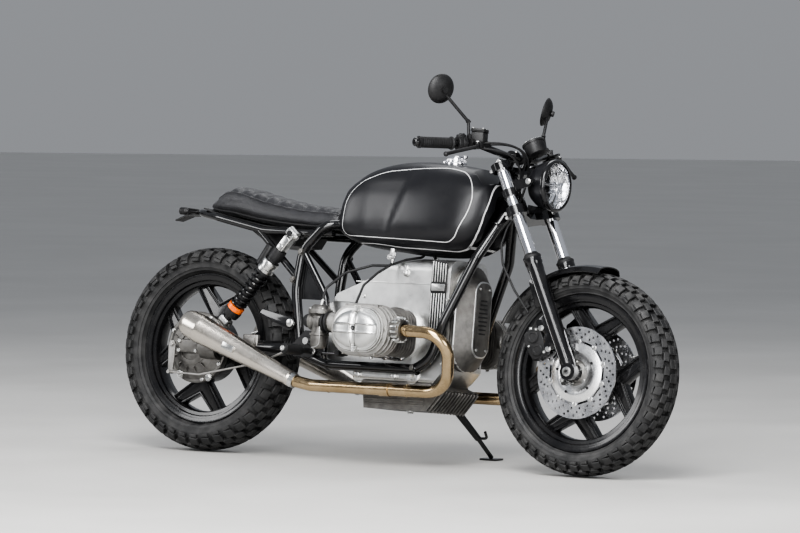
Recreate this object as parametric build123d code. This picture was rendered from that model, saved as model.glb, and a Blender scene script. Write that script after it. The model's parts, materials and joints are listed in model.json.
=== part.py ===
"""A scrambler motorcycle with an air-cooled flat twin, leaning on its side stand.

Every piece is drawn on the upright machine: X forward with 0 at the rear axle, Y to the rider's
left, Z up with 0 at the ground. The whole machine is then leaned onto its stand, and its origin
goes to the middle of its bounding box, at the ground. Lengths are in millimetres, angles in degrees.
"""

import os
from functools import cache
from math import cos, hypot, radians, sin, tan

from build123d import *

# Driving dimensions of the whole machine
WHEELBASE = 1450.0
LEAN = 6.5
RAKE = 26.5
FORK_OFFSET = 44.0
REAR_TYRE_RADIUS = 330.0
REAR_TYRE_WIDTH = 130.0
FRONT_TYRE_RADIUS = 316.0
FRONT_TYRE_WIDTH = 112.0
RIM_FLANGE_RADIUS = 245.0
FORK_SPACING = 190.0
FORK_TUBE_DIAMETER = 38.5
DISC_RADIUS = 142.5
DISC_Y = 60.0
FRAME_TUBE = 32.0
RAIL_TUBE = 25.0
HEADER_DIAMETER = 38.0
BAR_DIAMETER = 22.0
CYLINDER_Z = 404.0
CYLINDER_X = 806.0
CYLINDER_OFFSET = 39.0
ENGINE_HALF_WIDTH = 373.0

# Clearances
AXLE_CLEARANCE = 0.5
STEM_CLEARANCE = 1.5
BEAD_CLEARANCE = 0.4

REAR_AXLE = Vector(0, 0, REAR_TYRE_RADIUS)
FRONT_AXLE = Vector(WHEELBASE, 0, FRONT_TYRE_RADIUS)
FORK_UP = Vector(-sin(radians(RAKE)), 0, cos(radians(RAKE)))
FORK_AHEAD = Vector(cos(radians(RAKE)), 0, sin(radians(RAKE)))
RIGHT = -1
LEFT = 1
SIDES = (RIGHT, LEFT)


# Helpers that draw a piece from a few named points

def pipe(points, diameter, bend):
    """A round bar along straight runs joined by tangent arcs of one radius or one per corner."""
    path = FilletPolyline(*points, radius=bend) if len(points) > 2 else Line(*points)
    section = Plane(path @ 0, z_dir=path % 0) * Circle(diameter / 2)
    return sweep(section, path)


def rod(start, end, radius):
    """A straight round bar between two points."""
    run = Vector(*end) - Vector(*start)
    bar = Cylinder(radius, run.length, align=(Align.CENTER, Align.CENTER, Align.MIN))
    return Plane(Vector(*start), z_dir=run) * bar


def turned(origin, direction, outline):
    """A turned piece: outline holds (distance along the axis, radius) from the foot up."""
    last = outline[-1][0]
    first = outline[0][0]
    points = [(0, first)] + [(radius, along) for along, radius in outline] + [(0, last)]
    profile = make_face(Plane.XZ * Polyline(*points, close=True))
    return Plane(Vector(*origin), z_dir=Vector(*direction)) * revolve(profile, Axis.Z)


def side_plate(outline, y_low, y_high, corner=0.0):
    """A plate with its outline of (x, z) points in the side view, from y_low to y_high."""
    if corner:
        edge = FilletPolyline(*outline, radius=corner, close=True)
    else:
        edge = Polyline(*outline, close=True)
    return Pos(Y=y_low) * extrude(make_face(Plane.XZ * edge), y_high - y_low, dir=(0, 1, 0))


def flipped(shape):
    """The same piece on the other side of the machine."""
    return mirror(shape, about=Plane.XZ)


def both_sides(shape):
    """A piece and its mirror image, as one shape or as two that don't touch."""
    return shape + flipped(shape)


def on_fork(along, ahead=0.0, y=0.0):
    """A point along a fork leg, counted up from the front axle."""
    return FRONT_AXLE + FORK_UP * along + FORK_AHEAD * ahead + Vector(0, y, 0)


def lofted(stations):
    """A body through upright sections; columns as in TANK_STATIONS."""
    faces = []
    for x, bottom, top, low_half, high_half, low_round, high_round in stations:
        corners = [(-low_half, bottom), (low_half, bottom), (high_half, top), (-high_half, top)]
        rounds = [low_round, low_round, high_round, high_round]
        outline = FilletPolyline(*corners, radius=rounds, close=True)
        faces.append(Pos(X=x) * make_face(Plane.YZ * outline))
    return loft(faces)


# Wheels and tyres

RIM_HALF_WIDTH = 40.0
RIM_LIP = 5.0
BEAD_RADIUS = 228.6
RIM_INNER_RADIUS = 204.0
SPOKE_COUNT = 4
SPOKE_START_ANGLE = 80.0
SPOKE_THICKNESS = 30.0
SPOKE_STEM_HALF = 27.0
SPOKE_FORK_RADIUS = 128.0
SPOKE_ARM_ANGLE = 25.0
SPOKE_ARM_WIDTH = 30.0
FRONT_HUB_RADIUS = 46.0
FRONT_HUB_HALF = 52.0
REAR_HUB_RADIUS = 108.0
FRONT_AXLE_RADIUS = 10.0
REAR_AXLE_RADIUS = 14.0

# The tread is flat across this share of the tyre's width on each side of its middle
CROWN_SHARE = 0.2

# Lug rows: tyre radius, tyre width, lug height, lugs round, slot width
FRONT_LUGS = (FRONT_TYRE_RADIUS, FRONT_TYRE_WIDTH, 11.0, 50, 11.0)
REAR_LUGS = (REAR_TYRE_RADIUS, REAR_TYRE_WIDTH, 12.0, 42, 13.0)


@cache
def rim():
    """The cast rim: two flanges, bead seats and a well, turned about the axle."""
    inside = RIM_HALF_WIDTH - RIM_LIP
    outline = [
        (RIM_INNER_RADIUS, -inside), (BEAD_RADIUS - 8, -RIM_HALF_WIDTH),
        (RIM_FLANGE_RADIUS, -RIM_HALF_WIDTH), (RIM_FLANGE_RADIUS, -inside),
        (BEAD_RADIUS, -inside), (BEAD_RADIUS, inside), (RIM_FLANGE_RADIUS, inside),
        (RIM_FLANGE_RADIUS, RIM_HALF_WIDTH), (BEAD_RADIUS - 8, RIM_HALF_WIDTH),
        (RIM_INNER_RADIUS, inside),
    ]
    return revolve(make_face(Polyline(*outline, close=True)), Axis.Y)


@cache
def spokes(hub_radius):
    """The four cast spokes, each a stem that forks into two arms at the rim."""
    reach = RIM_INNER_RADIUS + 6
    arms = []
    for turn in (-SPOKE_ARM_ANGLE, SPOKE_ARM_ANGLE):
        tip_x = reach * cos(radians(turn))
        tip_z = reach * sin(radians(turn))
        run = hypot(tip_x - SPOKE_FORK_RADIUS, tip_z)
        side_x = -tip_z / run * SPOKE_ARM_WIDTH / 2
        side_z = (tip_x - SPOKE_FORK_RADIUS) / run * SPOKE_ARM_WIDTH / 2
        start = SPOKE_FORK_RADIUS - 12
        arms.append(side_plate([
            (start - side_x, -side_z), (tip_x - side_x, tip_z - side_z),
            (tip_x + side_x, tip_z + side_z), (start + side_x, side_z),
        ], -SPOKE_THICKNESS / 2, SPOKE_THICKNESS / 2))
    stem_length = SPOKE_FORK_RADIUS - hub_radius + 14
    if stem_length > 30:
        stem = Pos(X=hub_radius - 8 + stem_length / 2) * Box(stem_length, SPOKE_THICKNESS,
                                                           2 * SPOKE_STEM_HALF)
        one = stem + arms
    else:
        one = arms[0] + arms[1]
    step = 360 / SPOKE_COUNT
    return [Rot(Y=-(SPOKE_START_ANGLE + step * count)) * one for count in range(SPOKE_COUNT)]


@cache
def front_wheel():
    """Rim, spokes and hub, bored for the axle."""
    hub = Rot(X=90) * Cylinder(FRONT_HUB_RADIUS, 2 * FRONT_HUB_HALF)
    bore = Rot(X=90) * Cylinder(FRONT_AXLE_RADIUS + AXLE_CLEARANCE, 4 * FRONT_HUB_HALF)
    return Pos(FRONT_AXLE) * (rim() + spokes(FRONT_HUB_RADIUS) + hub - bore)


REAR_HUB_OUTER_Y = -46.0


@cache
def rear_wheel():
    """Rim, spokes and a wide hub that holds the drum, bored for the axle stub."""
    hub = turned((0, REAR_HUB_OUTER_Y, 0), (0, 1, 0),
                 [(0, REAR_HUB_RADIUS), (52, REAR_HUB_RADIUS), (70, 60), (84, 44), (96, 40)])
    bore = Rot(X=90) * Cylinder(REAR_AXLE_RADIUS + AXLE_CLEARANCE, 300)
    return Pos(REAR_AXLE) * (rim() + spokes(REAR_HUB_RADIUS) + hub - bore)


@cache
def tyre(lugs):
    """A knobbly tyre: the outer ring of rubber is cut by slots and grooves into its lugs."""
    radius, width, lug_height, count, slot = lugs
    half = width / 2
    inside = RIM_HALF_WIDTH - RIM_LIP - BEAD_CLEARANCE
    lip = RIM_FLANGE_RADIUS + BEAD_CLEARANCE
    side = [(BEAD_RADIUS + BEAD_CLEARANCE, inside), (lip, inside), (lip + 2, RIM_HALF_WIDTH),
            (lip + 0.4 * (radius - lip), half - 4), (radius - 0.2 * width, half - 3),
            (radius - 0.165 * width, half), (radius - 0.05 * width, 0.36 * width),
            (radius, CROWN_SHARE * width)]
    outline = [(r, y) for r, y in side] + [(r, -y) for r, y in reversed(side)]
    ring = revolve(make_face(Polyline(*outline, close=True)), Axis.Y)
    floor = radius - lug_height
    crown_y = 0.17 * width
    pitch = 360 / count
    middle = Box(3 * lug_height, 2 * crown_y, slot)
    shoulder = Box(3 * lug_height, half, slot)
    cutters = []
    for lug in range(count):
        turn = lug * pitch
        cutters.append(Rot(Y=turn) * Pos(X=floor + 1.5 * lug_height) * middle)
        for hand in SIDES:
            tilt = Rot(Z=-hand * 24.0)
            place = Pos(floor - 0.1 * width + 1.5 * lug_height, hand * (crown_y + half / 2), 0)
            cutters.append(Rot(Y=turn + pitch / 2) * place * tilt * shoulder)
    groove = 5.0
    for hand in SIDES:
        low = crown_y - groove / 2
        ringed = Polyline((floor, hand * low), (radius + 5, hand * low),
                          (radius + 5, hand * (low + groove)), (floor, hand * (low + groove)),
                          close=True)
        cutters.append(revolve(make_face(ringed), Axis.Y))
    return ring - cutters


DISC_THICKNESS = 5.0
DISC_CARRIER_RADIUS = 97.0
DISC_HOLES = 24
DISC_HOLE_RADIUS = 3.8
# Rows of holes: row radius, angle of the first hole
DISC_HOLE_ROWS = ((132, 0.0), (121, 5.0), (110, 10.0))


@cache
def brake_discs():
    """Two drilled discs, each on its own carrier against the hub."""
    plate = Circle(DISC_RADIUS) - Circle(DISC_CARRIER_RADIUS - 1)
    for row_radius, start in DISC_HOLE_ROWS:
        plate -= PolarLocations(row_radius, DISC_HOLES, start_angle=start) * Circle(DISC_HOLE_RADIUS)
    disc = extrude(plate, DISC_THICKNESS)
    reach = DISC_Y - DISC_THICKNESS / 2 - FRONT_HUB_HALF
    carrier = turned((0, 0, 0), (0, 0, 1), [
        (0, DISC_CARRIER_RADIUS), (5, DISC_CARRIER_RADIUS), (5, 84), (7.5, 70), (7.5, 42)])
    foot = Pos(Z=-reach / 2) * Cylinder(44, reach)
    recess = Pos(Z=5) * Cylinder(40, 10)
    bore = Cylinder(FRONT_AXLE_RADIUS + AXLE_CLEARANCE, 60)
    windows = PolarLocations(DISC_CARRIER_RADIUS - 2, 10) * Box(6, 38, 20)
    one = disc + carrier + foot - recess - bore - windows
    right = Pos(FRONT_AXLE) * Pos(Y=-DISC_Y + DISC_THICKNESS / 2) * Rot(X=90) * one
    return right + flipped(right)


# Steering: yokes, fork, mudguard and front brake

LOWER_YOKE = 545.0
UPPER_YOKE = 697.0
LOWER_YOKE_HEIGHT = 30.0
UPPER_YOKE_HEIGHT = 24.0
FORK_TOP = 711.0
SLIDER_TOP = 372.0
DUST_CAP_TOP = 384.0
SLIDER_RADIUS = 24.0
DUST_CAP_RADIUS = 28.0
HEAD_TUBE_RADIUS = 29.0
STEM_RADIUS = 15.0
YOKE_CLAMP_RADIUS = 31.0


def fork_plane(along, ahead=0.0, y=0.0):
    """A plane square to the fork legs: its x is ahead and its y is to the left."""
    return Plane(on_fork(along, ahead, y), x_dir=FORK_AHEAD, z_dir=FORK_UP)


@cache
def yoke(along, height, web_half):
    """A yoke: two clamps round the fork tubes and a web back to the steering stem."""
    half = FORK_SPACING / 2
    stem_x = -FORK_OFFSET
    web = make_face(Polyline(
        (stem_x - 20, -18), (-web_half, -half), (web_half, -half), (stem_x + 40, -18),
        (stem_x + 40, 18), (web_half, half), (-web_half, half), (stem_x - 20, 18), close=True))
    plate = web + Pos(stem_x, 0) * Circle(26)
    for hand in SIDES:
        plate += Pos(0, hand * half) * Circle(YOKE_CLAMP_RADIUS)
    for hand in SIDES:
        plate -= Pos(0, hand * half) * Circle(FORK_TUBE_DIAMETER / 2)
    return fork_plane(along - height / 2) * extrude(plate, height)


@cache
def upper_yoke():
    """The upper yoke with its stem nut and the two handlebar risers."""
    top = UPPER_YOKE + UPPER_YOKE_HEIGHT / 2
    nut = turned(on_fork(top, -FORK_OFFSET), FORK_UP, [(0, 18), (12, 18), (12, 10)])
    body = yoke(UPPER_YOKE, UPPER_YOKE_HEIGHT, 20) + nut
    for hand in SIDES:
        foot = on_fork(top - 4, RISER_AHEAD, hand * RISER_Y)
        body += rod(foot, BAR_CENTRE + Vector(0, hand * RISER_Y, 0), 13)
        body += Pos(BAR_CENTRE + Vector(0, hand * RISER_Y, 0)) * Rot(X=90) * Cylinder(19, 26)
    return body - handlebar()


@cache
def lower_yoke():
    """The lower yoke with the stem that turns in the steering head."""
    body = yoke(LOWER_YOKE, LOWER_YOKE_HEIGHT, 24)
    stem_end = UPPER_YOKE - UPPER_YOKE_HEIGHT / 2
    stem = rod(on_fork(LOWER_YOKE, -FORK_OFFSET), on_fork(stem_end, -FORK_OFFSET), STEM_RADIUS)
    stay = side_plate([(1192, 808), (1250, 806), (1250, 824), (1196, 832)], -16, 16)
    return body + stem + (stay - headlight_shell())


@cache
def fork_tubes():
    """The two bright fork tubes, with their top caps."""
    right = turned(on_fork(DUST_CAP_TOP, 0, -FORK_SPACING / 2), FORK_UP, [
        (0, FORK_TUBE_DIAMETER / 2), (FORK_TOP - DUST_CAP_TOP, FORK_TUBE_DIAMETER / 2),
        (FORK_TOP - DUST_CAP_TOP + 4, 13), (FORK_TOP - DUST_CAP_TOP + 6, 13)])
    return both_sides(right)


@cache
def fork_sliders():
    """The two lower legs: dust cap, leg, axle eye and calliper lugs."""
    half = FORK_SPACING / 2
    leg = turned(on_fork(-6, 0, -half), FORK_UP, [
        (0, 22.5), (60, 22.5), (90, SLIDER_RADIUS), (SLIDER_TOP + 6, SLIDER_RADIUS),
        (SLIDER_TOP + 6, DUST_CAP_RADIUS), (DUST_CAP_TOP + 6, DUST_CAP_RADIUS - 3)])
    eye = Pos(FRONT_AXLE + Vector(0, -half, 0)) * Rot(X=90) * Cylinder(27, 44)
    lugs = fork_plane(CALLIPER_ALONG, -38, -half + 8) * Box(40, 14, 100)
    bore = rod(FRONT_AXLE - Vector(0, 2 * half, 0), FRONT_AXLE, FRONT_AXLE_RADIUS)
    return both_sides(leg + eye + lugs - bore)


AXLE_SOCKET_RADIUS = 6.0
AXLE_SOCKET_DEPTH = 25.0
AXLE_OVERHANG = 30.0


@cache
def front_axle():
    """The wheel spindle, hollow at its ends."""
    reach = FORK_SPACING / 2 + AXLE_OVERHANG
    bar = rod(FRONT_AXLE - Vector(0, reach, 0), FRONT_AXLE + Vector(0, reach, 0), FRONT_AXLE_RADIUS)
    for hand in SIDES:
        end = FRONT_AXLE + Vector(0, hand * reach, 0)
        bar -= rod(end, end - Vector(0, hand * AXLE_SOCKET_DEPTH, 0), AXLE_SOCKET_RADIUS)
    return bar


# Calliper: behind the fork leg, astride the disc
CALLIPER_ALONG = 136.0
CALLIPER_BACK = -82.0
CALLIPER_INNER_Y = 46.0
CALLIPER_OUTER_Y = 92.0


@cache
def brake_callipers():
    """The two callipers, each a block astride its disc and bolted to the leg's lugs."""
    middle = -(CALLIPER_INNER_Y + CALLIPER_OUTER_Y) / 2
    block = Box(58, CALLIPER_OUTER_Y - CALLIPER_INNER_Y, 96)
    block = fillet(block.edges().filter_by(Axis.Y), 14)
    slot = Pos(FRONT_AXLE + Vector(0, -DISC_Y, 0)) * Rot(X=90) * Cylinder(DISC_RADIUS + 6, 15)
    right = fork_plane(CALLIPER_ALONG, CALLIPER_BACK, middle) * block - slot
    return both_sides(right - fork_sliders())


MUDGUARD_RADIUS = 338.0
MUDGUARD_HALF = 64.0
MUDGUARD_FRONT = 81.0
MUDGUARD_REAR = 154.0


@cache
def front_mudguard():
    """A short crowned mudguard over the tyre, held by a stay to each fork leg."""
    crown = [(MUDGUARD_RADIUS - 22, MUDGUARD_HALF), (MUDGUARD_RADIUS - 6, MUDGUARD_HALF * 0.72),
             (MUDGUARD_RADIUS, MUDGUARD_HALF * 0.3)]
    outer = crown + [(r, -y) for r, y in reversed(crown)]
    inner = [(r - 4, y) for r, y in reversed(outer)]
    section = make_face(Polyline(*outer, *inner, close=True))
    sweep_angle = MUDGUARD_REAR - MUDGUARD_FRONT
    skin = Rot(Y=-MUDGUARD_FRONT) * revolve(section, Axis.Y, -sweep_angle)
    guard = Pos(FRONT_AXLE) * skin
    half = FORK_SPACING / 2
    for hand in SIDES:
        stay_y = MUDGUARD_HALF + 2
        guard += fork_plane(288, -14, hand * stay_y) * Box(64, 5, 92)
        guard += rod(on_fork(262, -8, hand * stay_y), on_fork(262, -8, hand * half), 8)
    return guard - fork_sliders()


# Handlebar, its grips and controls, mirrors, speedometer and headlamp

BAR_CENTRE = Vector(1146, 0, 978)
RISER_Y = 45.0
RISER_AHEAD = -8.0
BAR_BEND = Vector(1108, 196, 1002)
GRIP_END = Vector(1020, 386, 987)
GRIP_LENGTH = 120.0
BAR_ROUTE = (BAR_CENTRE, BAR_CENTRE + Vector(0, 82, 0), BAR_BEND, GRIP_END)


@cache
def handlebar():
    """One bent tube, swept back to the grips."""
    left = list(BAR_ROUTE[1:])
    right = [Vector(point.X, -point.Y, point.Z) for point in reversed(left)]
    return pipe(right + left, BAR_DIAMETER, [60, 50, 50, 60])


@cache
def grips():
    """The two rubber grips with their end flanges and weights."""
    out = (GRIP_END - BAR_BEND).normalized()
    length = GRIP_LENGTH
    left = turned(GRIP_END - out * length, out, [
        (0, 20), (6, 20), (6, 16), (length - 4, 17), (length - 4, 19), (length + 2, 19),
        (length + 2, 13), (length + 16, 13)])
    return both_sides(left - handlebar())


@cache
def bar_controls():
    """Switch housings, lever perches, levers and the front brake's reservoir."""
    left = Vector(1098, 226, 1000)
    along = (GRIP_END - BAR_BEND).normalized()
    housing = turned(left + along * 10, along, [(0, 21), (34, 21), (34, 17), (38, 17)])
    perch = turned(left - along * 26, along, [(0, 17), (24, 17)])
    lever = pipe([left - along * 14 + Vector(10, 0, -2), left + Vector(44, 14, -12),
                  Vector(1122, 320, 968), Vector(1112, 366, 954)], 11, [18, 40])
    one = (housing + perch + lever) - handlebar()
    reservoir = Pos(1116, -196, 1028) * Rot(Z=20) * Box(44, 60, 46)
    reservoir = fillet(reservoir.edges().filter_by(Axis.Z), 8)
    cylinder = rod((1122, -160, 1004), (1110, -240, 1004), 12)
    tank = reservoir + cylinder - handlebar()
    return one + (flipped(one) + tank)


MIRROR_CUP_RADIUS = 47.0
MIRROR_POST = 10.0
# Mirror posts: foot on the perch, elbow, ball, centre of the cup
MIRROR_POSTS = (
    ((1098, -226, 1012), (1092, -228, 1068), (1056, -286, 1130), (1040, -310, 1160)),
    ((1102, 208, 1014), (1088, 206, 1066), (1050, 276, 1124), (1032, 302, 1154)),
)


@cache
def mirrors():
    """Two round mirrors on bent posts, facing back."""
    pair = []
    for foot, elbow, ball, cup in MIRROR_POSTS:
        hand = LEFT if foot[1] > 0 else RIGHT
        face = Vector(-1, -hand * 0.4, 0.24).normalized()
        post = pipe([foot, elbow, ball, cup], MIRROR_POST, [14, 20])
        glass = MIRROR_CUP_RADIUS - 4
        head = turned(Vector(*cup) - face * 14, face, [
            (0, 16), (4, 32), (12, MIRROR_CUP_RADIUS), (20, MIRROR_CUP_RADIUS), (20, glass), (18, glass)])
        pair.append(post + head)
    return pair[0] + pair[1] - bar_controls()


SPEEDO_CENTRE = Vector(1190, 0, 1022)


@cache
def speedometer():
    """A small round speedometer above the upper yoke, tilted to the rider."""
    tilt = Vector(-0.5, 0, 0.866)
    stem_foot = on_fork(UPPER_YOKE + UPPER_YOKE_HEIGHT / 2, 16)
    body = turned(SPEEDO_CENTRE - tilt * 40, tilt, [
        (0, 22), (8, 30), (40, 33), (40, 36), (50, 36), (50, 31), (47, 31)])
    return body + rod(SPEEDO_CENTRE - tilt * 36, stem_foot, 8) - upper_yoke()


HEADLAMP_CENTRE = Vector(1288, 0, 895)
HEADLAMP_RADIUS = 82.0
LENS_RADIUS = 71.0


@cache
def headlight_shell():
    """The bowl of the headlamp with its rim, open in front."""
    back = HEADLAMP_CENTRE - Vector(92, 0, 0)
    outer = turned(back, (1, 0, 0), [
        (0, 26), (10, 52), (34, 72), (62, 78), (74, 79), (74, HEADLAMP_RADIUS),
        (92, HEADLAMP_RADIUS), (96, LENS_RADIUS + 3)])
    inner = turned(back + Vector(8, 0, 0), (1, 0, 0), [
        (0, 22), (8, 46), (28, 67), (56, 73), (80, 73), (90, LENS_RADIUS)])
    ears = rod(HEADLAMP_CENTRE + Vector(-44, -88, 4), HEADLAMP_CENTRE + Vector(-44, 88, 4), 9)
    return outer + ears - inner


@cache
def headlight_reflector():
    """The bright dish inside the headlamp."""
    back = HEADLAMP_CENTRE - Vector(66, 0, 0)
    outer = turned(back, (1, 0, 0), [(0, 14), (10, 38), (28, 58), (52, 70), (62, LENS_RADIUS)])
    inner = turned(back + Vector(3, 0, 0), (1, 0, 0), [(0, 12), (10, 34), (27, 54), (50, 67), (60, 69)])
    return outer - inner


@cache
def headlight_lens():
    """The domed glass."""
    return turned(HEADLAMP_CENTRE - Vector(4, 0, 0), (1, 0, 0), [
        (0, LENS_RADIUS), (6, LENS_RADIUS), (11, 62), (15, 42), (17, 20)])


@cache
def headlight_bracket():
    """Two arms from the fork tubes to the headlamp's side bolts."""
    arms = []
    for hand in SIDES:
        arm = side_plate([(1182, 868), (1252, 884), (1260, 899), (1250, 912), (1176, 898)],
                         -FORK_SPACING / 2 - 1, -FORK_SPACING / 2 + 4)
        arms.append(arm if hand == RIGHT else flipped(arm))
    ring = fork_plane(606, 0, -FORK_SPACING / 2) * Cylinder(24, 26)
    ring -= fork_plane(606, 0, -FORK_SPACING / 2) * Cylinder(FORK_TUBE_DIAMETER / 2, 40)
    body = both_sides(ring) + arms
    return body - fork_tubes() - headlight_shell()


BRAKE_HOSE = 7.0


@cache
def brake_hoses():
    """The hose from the lower yoke to each front calliper."""
    route = [(1176, -40, 800), (1150, -52, 760), (1140, -66, 700), (1160, -80, 640),
             (1216, -88, 560), (1272, -84, 492)]
    return both_sides(pipe(route, BRAKE_HOSE, 34)) - lower_yoke() - brake_callipers()


# Frame: steering head, backbone, cradle and rear uprights

HEAD_CENTRE = 621.0
HEAD_HALF = 58.0
UPRIGHT_Y = 118.0
CRADLE_Y = 128.0
CRADLE_Z = 296.0
BACKBONE = ((1096, 0, 872), (900, 0, 812), (520, 0, 742))
RIGHT_DOWNTUBE = ((1118, -24, 796), (1068, -96, 650), (985, -124, 452), (950, -CRADLE_Y, 330),
                  (890, -CRADLE_Y, CRADLE_Z), (560, -CRADLE_Y, CRADLE_Z), (440, -UPRIGHT_Y, 330))
RIGHT_UPRIGHT = ((560, -60, 748), (500, -UPRIGHT_Y, 738), (420, -UPRIGHT_Y, 660),
                 (404, -UPRIGHT_Y, 530), (440, -UPRIGHT_Y, 326))
RIGHT_BRACE = ((424, -UPRIGHT_Y, 650), (528, -UPRIGHT_Y, 505), (540, -CRADLE_Y + 2, 298))


@cache
def main_frame():
    """The tubular frame with its steering head, gussets and cross tubes."""
    head_low = on_fork(HEAD_CENTRE - HEAD_HALF, -FORK_OFFSET)
    head_high = on_fork(HEAD_CENTRE + HEAD_HALF, -FORK_OFFSET)
    frame = rod(head_low, head_high, HEAD_TUBE_RADIUS)
    frame += pipe(BACKBONE, 44, 300)
    frame += side_plate([(1102, 868), (1006, 842), (1054, 700), (1132, 800)], -7, 7)
    for hand in SIDES:
        tube = pipe(RIGHT_DOWNTUBE, FRAME_TUBE, [90, 160, 90, 50, 120])
        upright = pipe(RIGHT_UPRIGHT, FRAME_TUBE, [46, 100, 200])
        brace = pipe(RIGHT_BRACE, 22, 120)
        for piece in (tube, upright, brace):
            frame += piece if hand == RIGHT else flipped(piece)
    frame += stand_lug()
    frame += rod((560, -66, 746), (560, 66, 746), 16)
    frame += rod((440, -UPRIGHT_Y, 330), (440, UPRIGHT_Y, 330), 18)
    frame += rod((900, -CRADLE_Y, 299), (900, CRADLE_Y, 299), 11)
    return frame - rod(head_low - FORK_UP * 9, head_high + FORK_UP * 9, STEM_RADIUS + STEM_CLEARANCE)


def stand_lug():
    """The boss under the left cradle tube that carries the side stand."""
    near = STAND_EYE_HALF + PIN_CLEARANCE
    boss_foot = STAND_PIVOT + STAND_AXIS * near
    boss_head = boss_foot + STAND_AXIS * STAND_LUG_THICKNESS
    post = rod((STAND_PIVOT.X, CRADLE_Y, CRADLE_Z), boss_head, 12)
    cut = rod(boss_foot, boss_foot - STAND_AXIS * 60, 60)
    boss = rod(boss_foot, boss_head, STAND_EYE_RADIUS)
    hole = rod(STAND_PIVOT, boss_head + STAND_AXIS * 60, STAND_PIN_RADIUS + PIN_CLEARANCE)
    return (post - cut) + boss - hole


SEAT_RAIL = ((520, -98, 716), (430, -104, 712), (250, -104, 716), (60, -96, 752), (-60, -60, 772),
             (-60, 60, 772), (60, 96, 752), (250, 104, 716), (430, 104, 712), (520, 98, 716))
SHOCK_TOP = Vector(382, -128, 706)
SHOCK_FOOT = Vector(140, -130, 416)


@cache
def rear_subframe():
    """The seat loop with its struts, cross tube and shock absorber's top mount."""
    loop = pipe(SEAT_RAIL, RAIL_TUBE, [60, 200, 200, 70, 70, 200, 200, 60])
    body = loop + rod((300, -104, 714), (300, 104, 714), 10) + rod((120, -98, 742), (120, 98, 742), 9)
    for hand in SIDES:
        strut = rod((230, hand * 104, 716), (414, hand * UPRIGHT_Y, 560), 11)
        body += strut
    body += rod((SHOCK_TOP.X, -104, SHOCK_TOP.Z), (SHOCK_TOP.X, -150, SHOCK_TOP.Z), 9)
    body += side_plate([(350, 716), (410, 716), (400, 692), (364, 692)], -112, -96)
    return body - main_frame()


# Engine, gearbox and shaft drive

CASE_FRONT = 985.0
CASE_HALF = 104.0
BARREL_FOOT_Y = 132.0
HEAD_FOOT_Y = 262.0
ROCKER_FOOT_Y = 326.0


LOUVRE_X = 918.0
LOUVRE_PITCH = 13.0
LOUVRE_COUNT = 5
LOUVRE_LOW_Z = 400.0
LOUVRE_HIGH_Z = 612.0


@cache
def louvres():
    """The upright slots down both flanks of the case and its cover, behind the front cover."""
    slots = []
    middle = (LOUVRE_LOW_Z + LOUVRE_HIGH_Z) / 2
    for bar in range(LOUVRE_COUNT):
        x = LOUVRE_X + bar * LOUVRE_PITCH
        for hand in SIDES:
            slots.append(Pos(x, hand * CASE_HALF, middle) * Box(6, 10, LOUVRE_HIGH_Z - LOUVRE_LOW_Z))
    return slots


@cache
def engine_case():
    """The crankcase, with a round flange for each barrel."""
    body = side_plate([(640, 250), (640, 500), (CASE_FRONT, 500), (CASE_FRONT, 300), (940, 250)],
                      -CASE_HALF, CASE_HALF)
    body = fillet(body.edges().filter_by(Axis.X).sort_by(Axis.Z)[:2], 18) - louvres()
    for hand in SIDES:
        middle = Vector(cylinder_x(hand), 0, CYLINDER_Z)
        body += rod(middle, middle + Vector(0, hand * BARREL_FOOT_Y, 0), 84)
    return body - main_frame()


def cylinder_x(hand):
    """The right cylinder stands behind the left one."""
    return CYLINDER_X if hand == RIGHT else CYLINDER_X + CYLINDER_OFFSET


@cache
def top_cover():
    """The silver cover over the engine and its air filter, louvred behind the front cover."""
    body = side_plate([(540, 500), (556, 524), (665, 570), (760, 624), (860, 646), (CASE_FRONT, 646),
                       (CASE_FRONT, 500)], -CASE_HALF, CASE_HALF)
    body = fillet(body.edges().filter_by(Axis.X).sort_by(Axis.Z)[-2:], 40) - main_frame()
    return body - louvres()


FRONT_COVER_WIDTH = 184.0
FRONT_COVER_HEIGHT = 332.0
FRONT_COVER_Z = 466.0
FRONT_COVER_SIDE = 20.0
FRONT_COVER_NOSE = 42.0
FRONT_COVER_TAPER = 50.0


@cache
def front_cover():
    """The tall oval cover in front of the engine, bevelled to its nose and slotted on both sides."""
    outline = RectangleRounded(FRONT_COVER_WIDTH, FRONT_COVER_HEIGHT, 84)
    foot = Plane((CASE_FRONT, 0, FRONT_COVER_Z), x_dir=(0, 1, 0), z_dir=(1, 0, 0))
    body = extrude(foot * outline, FRONT_COVER_SIDE)
    body += extrude(foot.offset(FRONT_COVER_SIDE) * outline, FRONT_COVER_NOSE, taper=FRONT_COVER_TAPER)
    for x in (CASE_FRONT + 5, CASE_FRONT + 14):
        for hand in SIDES:
            body -= Pos(x, hand * FRONT_COVER_WIDTH / 2, 424) * Box(4, 10, 112)
    return body - main_frame()


@cache
def oil_sump():
    """The finned oil pan under the crankcase, bevelled in front."""
    body = side_plate([(680, 250), (940, 250), (CASE_FRONT, 236), (930, 168), (690, 168)], -104, 104)
    for count in range(7):
        y = -90 + count * 30
        body -= Pos(960, y, 190) * Rot(Y=40) * Box(30, 12, 120)
    return body - main_frame()


@cache
def gearbox():
    """The gearbox behind the engine, with the boss for the drive shaft."""
    body = side_plate([(470, 312), (470, 470), (540, 500), (640, 500), (640, 300)], -92, 92)
    return body + rod((470, -60, 350), (448, -60, 350), 44) - main_frame() - top_cover()


BARREL_FINS = 9
HEAD_FINS = 5
BARREL_FIN = RectangleRounded(184, 150, 46)
HEAD_FIN = RectangleRounded(232, 168, 78)
PORT_Y = HEAD_FOOT_Y + 30.0
PORT_AHEAD = 128.0
INLET_BEHIND = 130.0


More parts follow.
